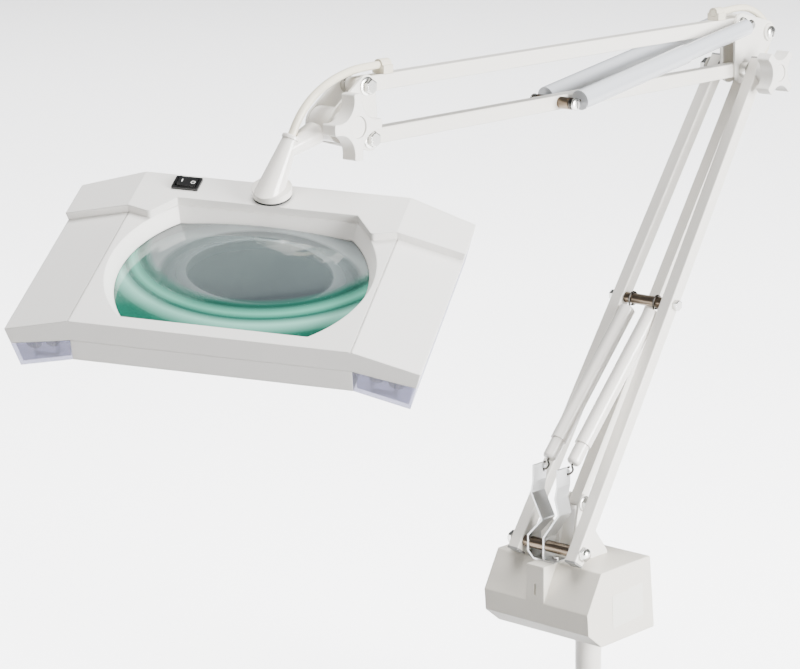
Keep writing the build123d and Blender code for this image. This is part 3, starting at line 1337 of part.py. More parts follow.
for name, point in (
    ("base pivot", BASE_PIVOT),
    ("elbow", ELBOW),
    ("elbow top axis", TOP_AXIS),
    ("rear bar base", REAR_BASE),
    ("rear bar top", REAR_TOP),
    ("head pivot", HEAD_PIVOT),
    ("knuckle", KNUCKLE),
    ("crossbar", CROSSBAR),
    ("anchor", ANCHOR),
    ("spring pin", SPRING_PIN),
    ("collar top", COLLAR_TOP),
    ("neck rim", RIM),
    ("head origin", HEAD_ORIGIN),
    ("rocker axis", HEAD.from_local_coords((ROCKER_AXIS[0], SWITCH_AT[1], ROCKER_AXIS[1]))),
):
    print(name, [round(v, 3) for v in (point.X, point.Y, point.Z)])
for name, line in (
    ("horn", HORN_DIR),
    ("pipe", PIPE_DIR),
    ("head up", HEAD_UP),
    ("head back", HEAD_BACK),
    ("head side", HEAD.x_dir),
    ("lower spring line", LOWER_LINE),
    ("upper spring line", TOP_AXIS - SPRING_PIN),
):
    print(name, [round(v, 5) for v in (line.X, line.Y, line.Z)])
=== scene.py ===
# %% [markdown]
# # Magnifying lamp
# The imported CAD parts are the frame. This script gives them their looks: materials, rounded hardware,
# wound springs, a ground lens and soft cables. Lengths are in metres and worked out from the frame's joints.

import json
from math import acos, cos, pi, radians, sin, sqrt, tan

import bmesh
import bpy
from mathutils import Matrix, Vector


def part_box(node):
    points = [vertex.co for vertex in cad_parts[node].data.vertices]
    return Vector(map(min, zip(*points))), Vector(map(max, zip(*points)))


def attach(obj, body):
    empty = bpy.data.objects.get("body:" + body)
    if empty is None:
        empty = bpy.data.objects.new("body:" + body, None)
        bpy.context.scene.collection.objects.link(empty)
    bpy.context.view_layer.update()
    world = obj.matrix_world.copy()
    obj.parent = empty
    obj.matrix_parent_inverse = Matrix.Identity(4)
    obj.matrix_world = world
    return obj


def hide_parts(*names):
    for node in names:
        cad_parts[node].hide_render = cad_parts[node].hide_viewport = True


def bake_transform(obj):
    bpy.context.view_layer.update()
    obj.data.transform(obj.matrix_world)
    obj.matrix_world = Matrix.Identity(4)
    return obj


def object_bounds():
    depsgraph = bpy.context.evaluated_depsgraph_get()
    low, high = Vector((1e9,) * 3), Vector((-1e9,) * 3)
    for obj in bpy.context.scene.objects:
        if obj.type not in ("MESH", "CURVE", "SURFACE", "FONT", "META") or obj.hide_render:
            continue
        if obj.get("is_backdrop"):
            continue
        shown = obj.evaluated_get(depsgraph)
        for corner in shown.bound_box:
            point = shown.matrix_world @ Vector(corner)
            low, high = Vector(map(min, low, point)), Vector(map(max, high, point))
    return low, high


bpy.ops.wm.read_factory_settings(use_empty=True)
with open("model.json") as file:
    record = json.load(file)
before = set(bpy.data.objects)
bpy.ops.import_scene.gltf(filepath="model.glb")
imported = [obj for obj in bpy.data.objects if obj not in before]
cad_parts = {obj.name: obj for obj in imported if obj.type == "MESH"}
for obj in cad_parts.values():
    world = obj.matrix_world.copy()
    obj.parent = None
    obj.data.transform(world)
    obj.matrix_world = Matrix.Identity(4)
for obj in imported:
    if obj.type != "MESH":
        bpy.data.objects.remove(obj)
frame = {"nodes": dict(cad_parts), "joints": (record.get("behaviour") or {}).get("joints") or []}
low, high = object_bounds()
mm = 0.001
joint = {j["name"]: j for j in frame["joints"]}
print("frame", [round(v, 3) for v in low], [round(v, 3) for v in high])


def pivot(name):
    """A joint's place at rest."""
    return Vector(joint[name]["pos_m"])


def line_of(name):
    """A joint's axis."""
    return Vector(joint[name]["axis"]).normalized()


BASE_PIVOT = pivot("lower_arm_pivot")
ELBOW = pivot("elbow_level")
TOP_PIVOT = pivot("top_bar_pivot")
REAR_LOW = pivot("rear_bar_pivot")
REAR_HIGH = REAR_LOW + ELBOW - BASE_PIVOT
HEAD_PIVOT = pivot("head_bracket_level")
HEAD_TOP = HEAD_PIVOT + TOP_PIVOT - ELBOW
KNUCKLE = pivot("head_tilt")
CROSSBAR = pivot("lower_spring_swing")
Y = Vector((0, 1, 0))
HEAD_UP = line_of("head_swivel")
HEAD_BACK = line_of("rocker_tilt")
HEAD_SIDE = HEAD_BACK.cross(HEAD_UP)
COLLAR_TOP = pivot("head_swivel")
COLLAR_ABOVE, COLLAR_BEHIND = 13 * mm, 82 * mm
HEAD_ORIGIN = COLLAR_TOP - HEAD_UP * COLLAR_ABOVE - HEAD_BACK * COLLAR_BEHIND
HEAD = Matrix((HEAD_SIDE, HEAD_BACK, HEAD_UP)).transposed().to_4x4()
HEAD.translation = HEAD_ORIGIN
print("head", [round(v, 4) for v in HEAD_ORIGIN])

# %% [markdown]
# ## Materials
# Each material is named for what the piece is made of, and for painted light where it carries some.

# %% Colour and node helpers


def linear(hex_colour):
    """sRGB hex to linear RGBA."""
    channels = [int(hex_colour[i : i + 2], 16) / 255 for i in (1, 3, 5)]
    return [c / 12.92 if c <= 0.04045 else ((c + 0.055) / 1.055) ** 2.4 for c in channels] + [1]


def add_node(tree, kind, **inputs):
    """A shader node with some of its inputs set."""
    node = tree.nodes.new(kind)
    for name, value in inputs.items():
        node.inputs[name.replace("_", " ")].default_value = value
    return node


def empty_material(name):
    """A material with an output and nothing else."""
    material = bpy.data.materials.new(name)
    material.use_nodes = True
    tree = material.node_tree
    tree.nodes.clear()
    return material, tree, tree.nodes.new("ShaderNodeOutputMaterial")


def surface(name, colour, rough, metal=0.0, coat=0.0, grain=0.0, grain_size=0.6, edge=0.4, sheen=None):
    """A solid material: colour, roughness, a bump of fine grain in millimetres, and softened edges."""
    material, tree, out = empty_material(name)
    shader = add_node(tree, "ShaderNodeBsdfPrincipled", Roughness=rough, Metallic=metal)
    shader.inputs["Base Color"].default_value = linear(colour)
    shader.inputs["Coat Weight"].default_value = coat
    shader.inputs["Coat Roughness"].default_value = 0.12
    bevel = add_node(tree, "ShaderNodeBevel", Radius=edge * mm)
    bevel.samples = 6
    tree.links.new(shader.outputs[0], out.inputs["Surface"])
    where = tree.nodes.new("ShaderNodeTexCoord")
    noise = add_node(tree, "ShaderNodeTexNoise", Scale=1 / (grain_size * mm), Detail=3.0)
    tree.links.new(where.outputs["Object"], noise.inputs["Vector"])
    bump = add_node(tree, "ShaderNodeBump", Strength=grain, Distance=0.1 * mm)
    tree.links.new(noise.outputs["Fac"], bump.inputs["Height"])
    tree.links.new(bevel.outputs[0], bump.inputs["Normal"])
    tree.links.new(bump.outputs[0], shader.inputs["Normal"])
    haze = add_node(tree, "ShaderNodeTexNoise", Scale=1 / (35 * mm), Detail=2.0)
    tree.links.new(where.outputs["Object"], haze.inputs["Vector"])
    spread = tree.nodes.new("ShaderNodeMapRange")
    spread.inputs["To Min"].default_value = rough - 0.05
    spread.inputs["To Max"].default_value = rough + 0.05
    tree.links.new(haze.outputs["Fac"], spread.inputs["Value"])
    tree.links.new(spread.outputs[0], shader.inputs["Roughness"])
    return material


# %% The lamp's materials
enamel = surface("white enamelled steel", "#ECE8E0", 0.32, coat=0.3, grain=0.15, grain_size=1.5, edge=0.7)
enamel_plate = surface("white enamelled plate", "#E9E6DF", 0.34, coat=0.3, grain=0.15, edge=0.8)
head_white = surface("white ABS with a fine texture", "#E8E6E2", 0.5, grain=0.5, grain_size=0.5, edge=1.2)
base_white = surface("warm white ABS", "#E6E1D6", 0.45, grain=0.45, grain_size=0.6, edge=1.5)
gloss_white = surface("glossy white nylon", "#EEEAE3", 0.2, coat=0.5, grain=0.08, edge=1.0)
knob_white = surface("white moulded knob plastic", "#EDEAE4", 0.3, coat=0.2, grain=0.12, edge=1.2)
cover_grey = surface("pearl grey PVC", "#C2C5CA", 0.22, coat=0.6, grain=0.1, edge=0.4)
cap_grey = surface("grey polyethylene", "#8A8A88", 0.5, grain=0.2, edge=0.4)
zinc = surface("bright zinc plated steel", "#C9C8C4", 0.26, metal=1.0, grain=0.1, edge=0.25)
galvanised = surface("galvanised sheet steel", "#B9BABA", 0.38, 1.0, grain=0.3, grain_size=2.5, edge=0.3)
bronze = surface("brown lacquered tube", "#6E6254", 0.3, metal=0.9, grain=0.1, edge=0.2)
spring_steel = surface("dark oiled spring steel", "#55524E", 0.3, metal=1.0, grain=0.1, edge=0.1)
ivory = surface("ivory PVC cable", "#E3DCC8", 0.38, coat=0.15, grain=0.1, edge=0.3)
black = surface("black rocker plastic", "#141414", 0.28, coat=0.3, grain=0.1, edge=0.5)
mark_white = surface("white printed mark", "#E8E8E6", 0.5, edge=0.05)
cream = surface("cream nylon", "#DDD6C4", 0.4, grain=0.15, edge=0.5)
paper = surface("matt label paper", "#EFEDE4", 0.7, grain=0.2, edge=0.1)
# Black rubber for the gasket; the same material is the painted shade of the screw slots.
rubber_and_slot_shade = surface("black rubber", "#1B1B1B", 0.7, grain=0.3, edge=0.3)
laminated = surface("varnished core steel", "#2B2A2C", 0.5, metal=0.7, edge=0.2)
winding = surface("enamelled copper wire", "#9A5A34", 0.35, metal=0.8, edge=0.2)
mirror_sheet = surface("bright aluminium sheet", "#E4E4E4", 0.15, metal=1.0, edge=0.1)
opal = surface("opal fluorescent coating", "#F4F3EE", 0.25, coat=0.6, edge=0.3)
print("solid materials", len(bpy.data.materials))

# %% Helpers for clear materials


def math_node(tree, operation, *values):
    """A math node. Each value is a number or a socket to link."""
    node = add_node(tree, "ShaderNodeMath")
    node.operation = operation
    for socket, value in zip(node.inputs, values):
        if isinstance(value, (int, float)):
            socket.default_value = value
        else:
            tree.links.new(value, socket)
    return node.outputs[0]


def mix_colour(tree, factor, first, second):
    """A colour between two, each a colour or a socket."""
    node = tree.nodes.new("ShaderNodeMix")
    node.data_type = "RGBA"
    tree.links.new(factor, node.inputs["Factor"])
    for name, value in (("A", first), ("B", second)):
        if isinstance(value, list):
            node.inputs[name].default_value = value
        else:
            tree.links.new(value, node.inputs[name])
    return node.outputs["Result"]


def mix_shader(tree, out, share, first, second):
    """Two shaders in fixed shares, as the surface."""
    node = add_node(tree, "ShaderNodeMixShader", Fac=share)
    tree.links.new(first.outputs[0], node.inputs[1])
    tree.links.new(second.outputs[0], node.inputs[2])
    tree.links.new(node.outputs[0], out.inputs["Surface"])


def head_distance(tree, where, x, y, half_wide, half_deep):
    """Distance from a point of the head's plane, as a share of an ellipse's half width and half depth."""
    centre = HEAD @ Vector((x, y, 0))
    squared = []
    for line, half in ((HEAD_SIDE, half_wide), (HEAD_BACK, half_deep)):
        along = tree.nodes.new("ShaderNodeVectorMath")
        along.operation = "DOT_PRODUCT"
        along.inputs[1].default_value = line / half
        tree.links.new(where, along.inputs[0])
        off = math_node(tree, "SUBTRACT", along.outputs["Value"], centre.dot(line) / half)
        squared.append(math_node(tree, "POWER", off, 2))
    return math_node(tree, "SQRT", math_node(tree, "ADD", *squared))


def colour_bands(tree, value, bands, top=2):
    """A colour ramp over a value from 0 to top, from (value, colour) pairs."""
    ramp = tree.nodes.new("ShaderNodeValToRGB")
    stops = ramp.color_ramp.elements
    for place, _ in bands[2:]:
        stops.new(place / top)
    for stop, (place, colour) in zip(stops, bands):
        stop.position = place / top
        stop.color = linear(colour)
    tree.links.new(math_node(tree, "DIVIDE", value, top), ramp.inputs[0])
    return ramp.outputs[0]


# %% Lens glass
# The lens's look is painted reflection: the real lens bends a dark room into a grey oval, painted here as
# colour, and the green bands where its ground edge shows are painted too, with painted highlights.
# The oval and the bands' circle are given as centre x, centre y, half width and half depth.
LENS_R, LENS_HALF, LENS_MID = 88.25 * mm, 60.25 * mm, -13 * mm
# Share of the painted reflection over the clear glass.
PAINTED_REFLECTION_SHARE = 0.8
OVAL = (12 * mm, 4 * mm, 52 * mm, 37 * mm)
# Painted reflection: a dark grey oval with lighter painted rings around it.
OVAL_BANDS = [
    (0, "#333A3D"),
    (0.96, "#3B4245"),
    (1.0, "#666E70"),
    (1.3, "#4A5153"),
    (1.4, "#7F8687"),
    (2.0, "#596061"),
]
GREEN_CIRCLE = (4 * mm, 50 * mm, 95 * mm, 95 * mm)
# Painted refraction of the green ground edge; its light bands are painted highlights.
GREEN_BANDS = [
    (0.8, "#1F7F6B"),
    (0.92, "#084437"),
    (0.99, "#5DB39B"),
    (1.04, "#0C5546"),
    (1.1, "#8CCFBC"),
    (1.2, "#0F6350"),
]
GREEN_STARTS = [(0.84, "#000000"), (0.9, "#FFFFFF")]

lens_glass, tree, out = empty_material("lens glass with painted reflection")
glass = add_node(tree, "ShaderNodeBsdfPrincipled", Roughness=0.0, IOR=1.52)
glass.inputs["Transmission Weight"].default_value = 1.0
glass.inputs["Base Color"].default_value = linear("#CFE6DE")
# Painted reflection: a glossy layer that carries the painted oval and green bands.
painted_reflection = add_node(tree, "ShaderNodeBsdfPrincipled", Roughness=0.06)
painted_reflection.inputs["Coat Weight"].default_value = 0.5
where = tree.nodes.new("ShaderNodeTexCoord").outputs["Object"]
from_circle = head_distance(tree, where, *GREEN_CIRCLE)
grey = colour_bands(tree, head_distance(tree, where, *OVAL), OVAL_BANDS)
green = colour_bands(tree, from_circle, GREEN_BANDS)
starts = colour_bands(tree, from_circle, GREEN_STARTS)
tree.links.new(mix_colour(tree, starts, grey, green), painted_reflection.inputs["Base Color"])
mix_shader(tree, out, PAINTED_REFLECTION_SHARE, glass, painted_reflection)
print("lens", len(tree.nodes), "nodes")

# %% Acrylic
# The clear corner lenses are hollow: partly see-through, and bluer where they are seen edge on.
acrylic, tree, out = empty_material("clear moulded acrylic")
shell = add_node(tree, "ShaderNodeBsdfPrincipled", Roughness=0.12)
shell.inputs["Coat Weight"].default_value = 0.7
through = tree.nodes.new("ShaderNodeBsdfTransparent")
through.inputs["Color"].default_value = linear("#D2D2E0")
facing = add_node(tree, "ShaderNodeLayerWeight", Blend=0.35)
shades = mix_colour(tree, facing.outputs["Facing"], linear("#A9A9B4"), linear("#5F6090"))
tree.links.new(shades, shell.inputs["Base Color"])
mix_shader(tree, out, 0.32, through, shell)
print("materials", len(bpy.data.materials))

# %% [markdown]
# ## CAD pieces that keep their own shape
# A body's pieces get their material here. A hidden edge angle keeps flat faces flat and round ones smooth.

# %% Dress the frame
WORN = {
    enamel: "post_tube lower_arm_left_bar lower_arm_right_bar rear_bar upper_arm_lower_bar upper_arm_top_bar",
    enamel_plate: "elbow_left_plate elbow_right_plate head_bracket_plates rear_bracket",
    head_white: "head_upper_shell head_lower_shell",
    base_white: "housing_shell housing_bottom_cover",
    gloss_white: "neck_casting knuckle lower_spring_sleeves lower_spring_cups",
    knob_white: "elbow_knob head_knob",
    cover_grey: "upper_cover_fixed upper_cover_sliding",
    cap_grey: "lower_arm_end_caps",
    zinc: "post_pin base_screws elbow_spacers head_bracket_spacers neck_swivel_nut head_screws",
    galvanised: "spring_anchors",
    bronze: "base_bolt_spacers upper_pin_spacers crossbar_tube",
    black: "switch_bezel rocker_switch cable_gland",
    cream: "top_bar_cable_clips swivel_bush terminal_block lampholders lens_retainer",
    paper: "label_plate",
    rubber_and_slot_shade: "collar_gasket",
    laminated: "ballast_core",
    winding: "ballast_coil",
    mirror_sheet: "reflectors",
    opal: "fluorescent_tubes",
    acrylic: "corner_lenses",
}


def dress(obj, material):
    """One material on a whole mesh, with round faces smooth and corners sharp."""
    obj.data.materials.clear()
    obj.data.materials.append(material)
    for face in obj.data.polygons:
        face.material_index = 0
        face.use_smooth = True
    obj.data.set_sharp_from_angle(angle=radians(32))


for material, names in WORN.items():
    for name in names.split():
        dress(frame["nodes"][name], material)
print("dressed", sum(len(names.split()) for names in WORN.values()))

# %% [markdown]
# ## Helpers for the pieces made here

# %% Mesh helpers


def new_piece(name, verts, faces, material, body, *nodes):
    """A closed mesh that rides on a CAD body and stands for its CAD nodes."""
    mesh = bpy.data.meshes.new(name)
    mesh.from_pydata([tuple(v) for v in verts], [], faces)
    obj = bpy.data.objects.new(name.replace(" ", "_"), mesh)
    bpy.context.scene.collection.objects.link(obj)
    shape = bmesh.new()
    shape.from_mesh(mesh)
    bmesh.ops.recalc_face_normals(shape, faces=shape.faces)
    shape.to_mesh(mesh)
    shape.free()
    dress(obj, material)
    if body:
        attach(obj, body)
    if nodes:
        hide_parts(*nodes)
    return obj


def basis(direction):
    """Two directions across a given one."""
    direction = direction.normalized()
    first = Y if abs(direction.y) < 0.9 else Vector((0, 0, 1))
    side = (first - direction * first.dot(direction)).normalized()
    return side, direction.cross(side)


def lathe(centre, direction, profile, sides=40, corners=None):
    """Rings along a direction from (distance, radius) steps. corners makes the ring a polygon."""
    side, up = basis(direction)
    along = direction.normalized()
    count = corners or sides
    verts, faces = [], []
    for distance, radius in profile:
        for i in range(count):
            turn = 2 * pi * i / count
            verts.append(centre + along * distance + (side * cos(turn) + up * sin(turn)) * radius)
    for ring in range(len(profile) - 1):
        for i in range(count):
            a = ring * count + i
            b = ring * count + (i + 1) % count
            faces.append((a, b, b + count, a + count))
    faces.append(tuple(range(count))[::-1])
    last = (len(profile) - 1) * count
    faces.append(tuple(range(last, last + count)))
    return verts, faces


def joined(*shapes):
    """Several (verts, faces) shapes as one."""
    verts, faces = [], []
    for some_verts, some_faces in shapes:
        shift = len(verts)
        verts += some_verts
        faces += [tuple(i + shift for i in face) for face in some_faces]
    return verts, faces


def sweep(points, radius, sides=12, closed=False):
    """A round wire along points, carried without twist."""
    count = len(points)
    verts, faces = [], []
    side = None
    for i, point in enumerate(points):
        after = points[(i + 1) % count] if closed or i < count - 1 else points[i]
        before = points[i - 1] if closed or i > 0 else points[i]
        along = (after - before).normalized()
        side = basis(along)[0] if side is None else (side - along * side.dot(along)).normalized()
        up = along.cross(side)
        for j in range(sides):
            turn = 2 * pi * j / sides
            verts.append(point + (side * cos(turn) + up * sin(turn)) * radius)
    rings = count if closed else count - 1
    for i in range(rings):
        for j in range(sides):
            a = i * sides + j
            b = i * sides + (j + 1) % sides
            c = ((i + 1) % count) * sides + j
            d = ((i + 1) % count) * sides + (j + 1) % sides
            faces.append((a, b, d, c))
    if not closed:
        faces.append(tuple(range(sides))[::-1])
        faces.append(tuple(range((count - 1) * sides, count * sides)))
    return verts, faces


def rounded(points, bends, step=1.5 * mm):
    """A polyline with its corners replaced by tangent arcs of the given radii."""
    out = [points[0]]
    for before, corner, after, bend in zip(points, points[1:], points[2:], bends):
        into = (corner - before).normalized()
        away = (after - corner).normalized()
        turn = acos(max(-1, min(1, into.dot(away))))
        tangent = bend * tan(turn / 2)
        start = corner - into * tangent
        inward = (away - into * away.dot(into)).normalized()
        centre = start + inward * bend
        pieces = max(2, int(bend * turn / step))
        for k in range(pieces + 1):
            angle = turn * k / pieces
            out.append(centre - inward * bend * cos(angle) + into * bend * sin(angle))
    out.append(points[-1])
    return out


# %% Hardware helpers


def shank(centre, radius, left, right):
    """A bolt's plain shank along Y, with chamfered ends."""
    chamfer = 0.12 * radius
    long = left - right
    profile = [(0, radius - chamfer), (chamfer, radius), (long - chamfer, radius), (long, radius - chamfer)]
    return lathe(centre + Y * left, -Y, profile, sides=28)


def hex_nut(face, outward, across, thick, flange=0.0):
    """A chamfered hexagon on a bearing face, with a round flange under it."""
    corner = across / sqrt(3)
    start = face
    shapes = []
    if flange:
        rim = 0.13 * thick
        shapes.append(lathe(face, outward, [(0, flange), (rim, flange), (2 * rim, flange * 0.82)], sides=36))
        start = face + outward * rim
        thick -= rim
    edge = 0.1 * thick
    body = [(0, corner * 0.985), (edge, corner), (thick - edge, corner), (thick, corner * 0.87)]
    shapes.append(lathe(start, outward, body, corners=6))
    return joined(*shapes)


def acorn_nut(face, outward, across, thick):
    """A hexagon with a domed cap, on a washer."""
    corner = across / sqrt(3)
    washer = 0.16 * thick
    half = 0.5 * thick
    dome = [(half, across * 0.46)]
    for k in range(1, 7):
        angle = k * pi / 12.6
        dome.append((half + (thick - half) * sin(angle), across * 0.46 * cos(angle)))
    base = [(0, corner * 0.98), (washer, corner), (half, corner * 0.95), (half + 0.02 * thick, across * 0.44)]
    cap = lathe(face, outward, [(0, across * 0.44)] + dome, sides=32)
    return joined(lathe(face, outward, base, corners=6), cap)


def pan_head(face, outward, radius, thick):
    """A low domed screw head with a raised rim."""
    profile = [(0, radius)]
    for k in range(7):
        angle = k * pi / 13
        profile.append((thick * (0.35 + 0.65 * sin(angle)), radius * cos(angle)))
    return lathe(face, outward, profile, sides=36)


def slot_mark(face, outward, radius, depth):
    """A dark bar laid on a screw's head: painted shade that stands for its screwdriver slot."""
    side, up = basis(outward)
    half_long, half_wide = radius * 0.92, radius * 0.12
    lift = outward * depth
    ends = [side * half_long + up * half_wide, side * -half_long + up * half_wide]
    ends += [side * -half_long - up * half_wide, side * half_long - up * half_wide]
    verts = [face + e for e in ends] + [face + e + lift for e in ends]
    faces = [(3, 2, 1, 0), (4, 5, 6, 7), (0, 1, 5, 4), (1, 2, 6, 5), (2, 3, 7, 6), (3, 0, 4, 7)]
    return verts, faces


print("helpers ready")

# %% [markdown]
# ## Bolts and nuts

# %% Bolts with nuts


def at(point, y):
    """A pivot moved along Y by a distance in millimetres."""
    return point + Y * y * mm


def nut_bolt(name, centre, radius, across, grip, ends, body, node=None, flange=0.0, dome=False):
    """A through bolt: shank between its ends, and a nut or head outside the grip on both sides."""
    thick = 0.55 * across
    shapes = [shank(centre, radius * mm, ends[0] * mm, ends[1] * mm)]
    for hand in (1, -1):
        face = at(centre, hand * grip)
        if dome:
            shapes.append(acorn_nut(face, Y * hand, across * mm, thick * mm))
        else:
            shapes.append(hex_nut(face, Y * hand, across * mm, thick * mm, flange * mm))
    return new_piece(name, *joined(*shapes), zinc, body, *([node] if node else []))


SLOT_LIFT = 0.3 * mm
BASE_GRIP = -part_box("base_bolt")[0].y / mm - 6.05
CROSS_GRIP = -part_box("crossbar_bolt")[0].y / mm - 4.4
ELBOW_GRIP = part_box("elbow_main_bolt")[1].y / mm - 7
BASE_ENDS = (BASE_GRIP, -BASE_GRIP)
nut_bolt("base pivot bolt", BASE_PIVOT, 3.5, 11, BASE_GRIP, BASE_ENDS, "base", "base_bolt", dome=True)
CROSS_ENDS = (CROSS_GRIP + 5, -CROSS_GRIP)
nut_bolt("crossbar bolt and nut", CROSSBAR, 2.5, 8, CROSS_GRIP, CROSS_ENDS, "lower_arm", "crossbar_bolt")
nut_bolt("rear bar bolt", REAR_LOW, 3, 10, 8.1, (13, -9), "base", "rear_bar_lower_bolt", flange=6.5)

PLATE_OUT = 11.5
PLATE_ENDS = (17, -12.5)
for index, centre in enumerate((HEAD_PIVOT, HEAD_TOP)):
    name = f"head bracket bolt {index + 1}"
    nut_bolt(name, centre, 3, 10, PLATE_OUT, PLATE_ENDS, "head_bracket", flange=7)
stud = shank(KNUCKLE, 3 * mm, 17.5 * mm, -20.5 * mm)
stud_nut = hex_nut(at(KNUCKLE, PLATE_OUT), Y, 10 * mm, 5.5 * mm, 7 * mm)
new_piece("head bracket stud", *joined(stud, stud_nut), zinc, "head_bracket", "head_bracket_bolts")

main = shank(ELBOW, 4 * mm, (ELBOW_GRIP + 7) * mm, -(ELBOW_GRIP + 11) * mm)
main_nut = hex_nut(at(ELBOW, ELBOW_GRIP), Y, 13 * mm, 6.5 * mm, 8.5 * mm)
new_piece("elbow main bolt and nut", *joined(main, main_nut), zinc, "elbow", "elbow_main_bolt")

link = [shank(TOP_PIVOT, 3 * mm, 20 * mm, -20 * mm)]
for hand in (1, -1):
    link.append(hex_nut(at(TOP_PIVOT, hand * 8.1), Y * hand, 10 * mm, 4 * mm, 6.3 * mm))
boss = at(REAR_HIGH, -10.05)
link.append(shank(REAR_HIGH, 3 * mm, 15 * mm, -10.5 * mm))
link.append(hex_nut(at(REAR_HIGH, 10.05), Y, 10 * mm, 4 * mm, 6.5 * mm))
link.append(pan_head(boss, -Y, 5.5 * mm, 3 * mm))
new_piece("elbow link bolts", *joined(*link), zinc, "elbow", "elbow_pivot_bolts")
# The screw's slot is a dark bar of painted shade.
slot = slot_mark(boss - Y * 2.75 * mm, -Y, 4.2 * mm, SLOT_LIFT)
new_piece("elbow screw slot", *slot, rubber_and_slot_shade, "elbow")

# %% Spring pin with slotted heads
UPPER_DIR = (HEAD_PIVOT - ELBOW).normalized()
PIN = ELBOW + UPPER_DIR * 243 * mm
pin_shapes = [shank(PIN, 3 * mm, 23 * mm, -23 * mm)]
for hand in (1, -1):
    pin_shapes.append(pan_head(at(PIN, hand * 20.5), Y * hand, 5 * mm, 2.5 * mm))
    # Each slot is a dark bar of painted shade.
    slot = slot_mark(at(PIN, hand * 22.75), Y * hand, 3.6 * mm, SLOT_LIFT)
    new_piece(f"pin slot {hand}", *slot, rubber_and_slot_shade, "upper_arm")
new_piece("spring pin", *joined(*pin_shapes), zinc, "upper_arm", "upper_spring_pin")

# %% [markdown]
# ## Springs
# Each spring is a wound coil whose ends turn in and close as a hook.

# %% Wound springs
HOOK_STEPS, HOOK_TURN = 15, 22
PER_TURN = 18
TAPER_STEPS, INNER_SHARE = 12, 0.15
STRAIGHT_BY_HOOK, STRAIGHT_BY_COIL = 1.5 * mm, 2 * mm


def coil_path(near, far, near_ring, far_ring, across_near, across_far, inset, radius, pitch):
    """A wire's path: a hook about near, a coil from inset to inset, and a hook about far."""
    line = (far - near).normalized()
    span = (far - near).length
    path = []
    for k in range(HOOK_STEPS):
        turn = radians(340 - HOOK_TURN * k)
        path.append(near + (line * cos(turn) + across_near.cross(line) * sin(turn)) * near_ring)
    path.append(near + line * (near_ring + STRAIGHT_BY_HOOK))
    path.append(near + line * (inset - STRAIGHT_BY_COIL))
    side, up = basis(line)
    steps = int((span - 2 * inset) / pitch * PER_TURN)
    for k in range(steps + 1):
        turn = 2 * pi * k / PER_TURN
        close = min(1, k / TAPER_STEPS, (steps - k) / TAPER_STEPS)
        out = radius * (INNER_SHARE + (1 - INNER_SHARE) * close)
        place = near + line * (inset + pitch * k / PER_TURN)
        path.append(place + (side * cos(turn) + up * sin(turn)) * out)
    path.append(far - line * (inset - STRAIGHT_BY_COIL))
    path.append(far - line * (far_ring + STRAIGHT_BY_HOOK))
    for k in range(HOOK_STEPS):
        turn = radians(32 + HOOK_TURN * k)
        path.append(far + (-line * cos(turn) - across_far.cross(line) * sin(turn)) * far_ring)
    return path


for hand in (1, -1):
    near, far = at(PIN, hand * 17.5), at(TOP_PIVOT, hand * 17.5)
    path = coil_path(near, far, 4 * mm, 4 * mm, Y, Y, 15 * mm, 3.8 * mm, 2.0 * mm)
    spring = new_piece(f"upper spring {hand}", *sweep(path, 0.85 * mm, 8), spring_steel, None)
    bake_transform(spring)
    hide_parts("upper_springs")

ANCHOR = BASE_PIVOT + Vector((8, 0, 61)) * mm
SPRING_LINE = (ANCHOR - CROSSBAR).normalized()
for hand in (1, -1):
    near = at(CROSSBAR, hand * 12.6)
    far = at(ANCHOR, hand * 12.6) - SPRING_LINE * 3.5 * mm
    across = SPRING_LINE.cross(Y)
    path = coil_path(near, far, 5.5 * mm, 3.5 * mm, Y, across, 16 * mm, 3.7 * mm, 2.0 * mm)
    spring = new_piece(f"lower spring {hand}", *sweep(path, 0.9 * mm, 8), spring_steel, None)
    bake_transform(spring)
    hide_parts("lower_springs")
print("springs done")

# %% [markdown]
# ## Cables
# The points are the cable's own route in the arm's plane.

# %% Cables
CABLE_R, CLIPPED_R, CABLE_RISE = 3 * mm, 2.95 * mm, 12 * mm
LAP = 6
RIM = KNUCKLE + Vector((-38.2, 0, -4.2)) * mm
PIPE_DIR = (RIM - COLLAR_TOP).normalized()


def above_top_bar(x):
    """A point of a cable that lies in the top bar's clips."""
    slope = (HEAD_TOP.z - TOP_PIVOT.z) / (HEAD_TOP.x - TOP_PIVOT.x)
    return Vector((x, 0, TOP_PIVOT.z + (x - TOP_PIVOT.x) * slope + CABLE_RISE))


def from_pivot(start, *steps):
    """Points in the arm's plane, given as millimetres across and up from a pivot."""
    return [start + Vector((x, 0, z)) * mm for x, z in steps]


def bends_of(points):
    """Bend radii that fill nine tenths of each pair of runs."""
    out = []
    for before, corner, after in zip(points, points[1:], points[2:]):
        into, away = corner - before, after - corner
        turn = into.angle(away)
        out.append(0.45 * min(into.length, away.length) / tan(turn / 2))
    return out


head_route = [RIM - PIPE_DIR * 6 * mm, RIM + PIPE_DIR * 2.5 * mm]
head_route += from_pivot(KNUCKLE, (-31.8, 6.3), (-25, 14), (-16.6, 20.8), (-6.8, 26.4))
head_route += from_pivot(KNUCKLE, (3.9, 30.9), (15.5, 34.2))
head_route += from_pivot(HEAD_TOP, (0, 11.3), (11.3, 12.1))
head_route += [above_top_bar(HEAD_TOP.x + 22.3 * mm), above_top_bar(HEAD_TOP.x + 33.1 * mm)]
elbow_route = [above_top_bar(TOP_PIVOT.x - 30.9 * mm), above_top_bar(TOP_PIVOT.x - 18.9 * mm)]
elbow_route += from_pivot(TOP_PIVOT, (-6.4, 12.7), (6.1, 13.3), (17.6, 12.3), (27.5, 9.3), (36.7, 4.8))
elbow_route += from_pivot(TOP_PIVOT, (45.5, -2.3), (49.5, -12.9), (47.7, -24.1))
